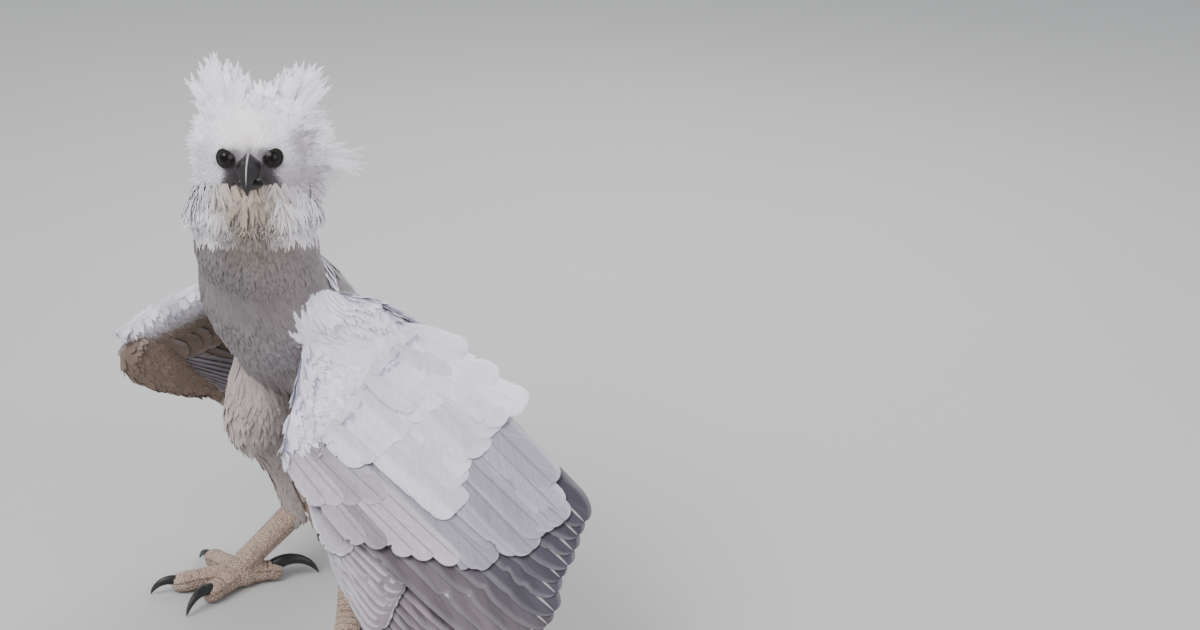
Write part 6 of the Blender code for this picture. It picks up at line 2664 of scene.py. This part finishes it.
@dataclass(frozen=True)
class Feet:
    """Claws and scutes of both feet."""

    arc: float = 1.75
    rise: float = 0.55
    sink: float = 0.010
    tip: float = 0.0004
    shank_scutes: int = 13
    toe_scutes: int = 9
    scute_rise: float = 0.0008
    scute_thickness: float = 0.0007
    scute_bow: float = 0.0004
    scute_clear: float = 0.0001
    shank_span: tuple[float, float] = (0.12, 0.90)
    toe_span: tuple[float, float] = (0.16, 0.90)

    def build(self) -> None:
        """Makes the claws and scutes."""
        horn = HornFinish("claw_horn", 0.30).material()
        scale = ScuteFinish().material()
        for side in ("left", "right"):
            plates = self.plates(np.array(tarsus_rows(side)), np.array((1.0, 0, 0)), self.shank_scutes,
                                 self.shank_span, 1.30)
            for name, degrees, length, claw_length, radius in TOES:
                ahead = toe_heading(side, degrees)
                across = beside(ahead)
                plates += self.plates(np.array(toe_rows(side, degrees, length)), across, self.toe_scutes,
                                      self.toe_span, 1.15)
                shape = loft(tube(self.claw_rows(side, ahead, length, claw_length, radius), 20, 36, across))
                dark = 0.020 + 0.030 * smooth(-shape.points[:, 2], -0.016, -0.002)
                dressed(f"talon_{side}_{name}", shape, np.repeat(dark[:, None], 3, axis=1), horn, "horn",
                        f"claw_{side}_{name}")
            shape = joined(plates)
            dressed(f"scutes_{side}", shape, np.tile(LEG * 1.04, (len(shape.points), 1)), scale, "scale")

    def claw_rows(self, side: str, ahead: Array, length: float, reach: float, radius: float) -> Array:
        """Stations of one claw, the same as in the solids.

        Args:
            side: left or right.
            ahead: Heading of the toe.
            length: Length of the toe.
            reach: Length of the claw.
            radius: Radius at its root.

        Returns:
            Rows in the frame.
        """
        foot = np.array(LEG_PLACES[side][3]) * (1, 1, 0) + SHIFT * (1, 1, 0)
        share = np.linspace(0, 1, 13)
        turn = self.arc * share - self.rise
        bow = reach / self.arc
        along = length - self.sink + bow * (np.sin(turn) + math.sin(self.rise))
        height = bow * (np.cos(turn) - math.cos(self.arc - self.rise))
        thick = radius * (1 - share) ** 0.65 + self.tip
        points = foot + ahead * along[:, None]
        points[:, 2] = height - (height - thick).min() + self.tip
        return np.column_stack([points, thick * 0.85, thick])

    def plates(self, rows: Array, across: Array, count: int, span: tuple[float, float],
               half_angle: float) -> list[Shape]:
        """Overlapping scutes over the front or top of a limb.

        Args:
            rows: Stations of the limb as design rows.
            across: Direction of its half widths.
            count: Scutes along it.
            span: Where they start and end.
            half_angle: How far they reach round it.

        Returns:
            The scutes.
        """
        rows[:, :3] += SHIFT
        made = []
        size = (span[1] - span[0]) / count
        for index in range(count):
            places = span[0] + size * (index + np.linspace(-0.10, 1.0, 6))
            samples = spline(rows, places)
            ahead = unit(samples[-1:, :3] - samples[:1, :3])
            up = unit(np.cross(ahead, across))
            side = np.cross(up, ahead)
            t = np.linspace(0, 1, 6)
            rings = []
            for angle in np.linspace(-half_angle, half_angle, 15):
                edge = 1 - (abs(angle) / half_angle) ** 3
                bow = np.sin(math.pi * np.minimum(t * 1.1, 1)) * self.scute_bow
                out = side * math.sin(angle) + up * math.cos(angle)
                high = samples[:, 3:4] + (self.scute_rise * t * edge + bow * edge)[:, None] + self.scute_clear
                low = high - self.scute_thickness - self.scute_bow
                middle = samples[:, :3]
                rings.append(np.concatenate([middle + out * high, (middle + out * low)[::-1]]))
            made.append(loft(np.array(rings)))
        return made


# Studio
# Lamps as (name, toward the camera, to its right, up, size, power), from the point the camera faces
LAMPS = (("key", 1.6, -1.5, 1.9, 2.2, 105.0), ("fill", 2.0, 2.2, 0.3, 2.6, 52.0),
         ("rim", -1.8, 0.6, 2.2, 1.4, 36.0))


@dataclass(frozen=True)
class Studio:
    """Pale floor, soft light, and the camera at the photo's viewing angle.

    The camera looks from the right front, a little down, and keeps the bird left of the middle.
    """

    azimuth: float = math.radians(33)
    elevation: float = math.radians(22)
    distance: float = 3.0
    lens: float = 75.0
    target: tuple[float, float, float] = (0.0, -0.02, 0.36)
    image: tuple[int, int] = (1200, 630)
    target_place: tuple[float, float] = (287.0, 312.0)
    sensor: float = 36.0
    floor_half: float = 6.0
    floor_sink: float = 0.0005
    world_tone: tuple[float, float, float, float] = (0.82, 0.84, 0.88, 1.0)
    world_strength: float = 0.85

    def axes(self) -> tuple[Array, Array, Array]:
        """The camera's right, up and back.

        Returns:
            The three directions.
        """
        a, e = self.azimuth, self.elevation
        back = np.array((math.sin(a) * math.cos(e), -math.cos(a) * math.cos(e), math.sin(e)))
        right = np.array((math.cos(a), math.sin(a), 0.0))
        return right, np.cross(back, right), back

    def build(self) -> None:
        """Makes the camera, lights, floor and world."""
        right, up, back = self.axes()
        target = np.array(self.target) + SHIFT
        focal = self.lens / self.sensor * self.image[0]
        off_x = (self.image[0] / 2 - self.target_place[0]) / focal
        off_y = (self.image[1] / 2 - self.target_place[1]) / focal
        place = target + self.distance * (back + right * off_x - up * off_y)
        camera = bpy.data.objects.new("camera", bpy.data.cameras.new("camera"))
        camera.data.lens, camera.data.sensor_width = self.lens, self.sensor
        turn = Matrix(np.stack([right, up, back], axis=1).tolist()).to_4x4()
        camera.matrix_world = Matrix.Translation(place) @ turn
        bpy.context.scene.collection.objects.link(camera)
        bpy.context.scene.camera = camera
        for name, toward, across, high, size, power in LAMPS:
            place = target + back * toward + right * across + np.array((0, 0, high))
            self.light(name, place, target, size, power)
        half = self.floor_half
        corners = np.array([(-half, -half, 0), (half, -half, 0), (half, half, 0), (-half, half, 0)], float)
        corners = corners - (0, 0, self.floor_sink)
        floor = mesh_object("floor", Shape(corners, np.array([(0, 1, 2), (0, 2, 3)])))
        floor.data.materials.append(FloorFinish().material())
        world = bpy.data.worlds.new("studio")
        world.use_nodes = True
        background = world.node_tree.nodes["Background"]
        Nodes(world.node_tree).feed(background, {"Color": self.world_tone, "Strength": self.world_strength})
        bpy.context.scene.world = world

    def light(self, name: str, place: Array, target: Array, size: float, power: float) -> None:
        """Adds one soft light that faces the target.

        Args:
            name: Its name.
            place: Where it stands.
            target: Where it points.
            size: Its width.
            power: Its power in watts.
        """
        lamp = bpy.data.lights.new(name, "AREA")
        lamp.size, lamp.energy = size, power
        obj = bpy.data.objects.new(name, lamp)
        obj.location = place
        obj.rotation_euler = Vector(place - target).to_track_quat("Z", "Y").to_euler()
        bpy.context.scene.collection.objects.link(obj)


def main() -> None:
    """Builds the bird in order and reports each piece."""
    logging.basicConfig(level=logging.INFO, format="%(name)s %(message)s")
    Studio().build()
    skin = Skin(BodyMap())
    skin.build()
    Coat(skin).build()
    Ruff().build(skin)
    Crest().build(skin)
    for plan in WINGS.values():
        Wing(plan).build(skin)
    Tail().build(skin)
    Eyes().build()
    Bill().build()
    Feet().build()


if __name__ == "__main__":
    main()
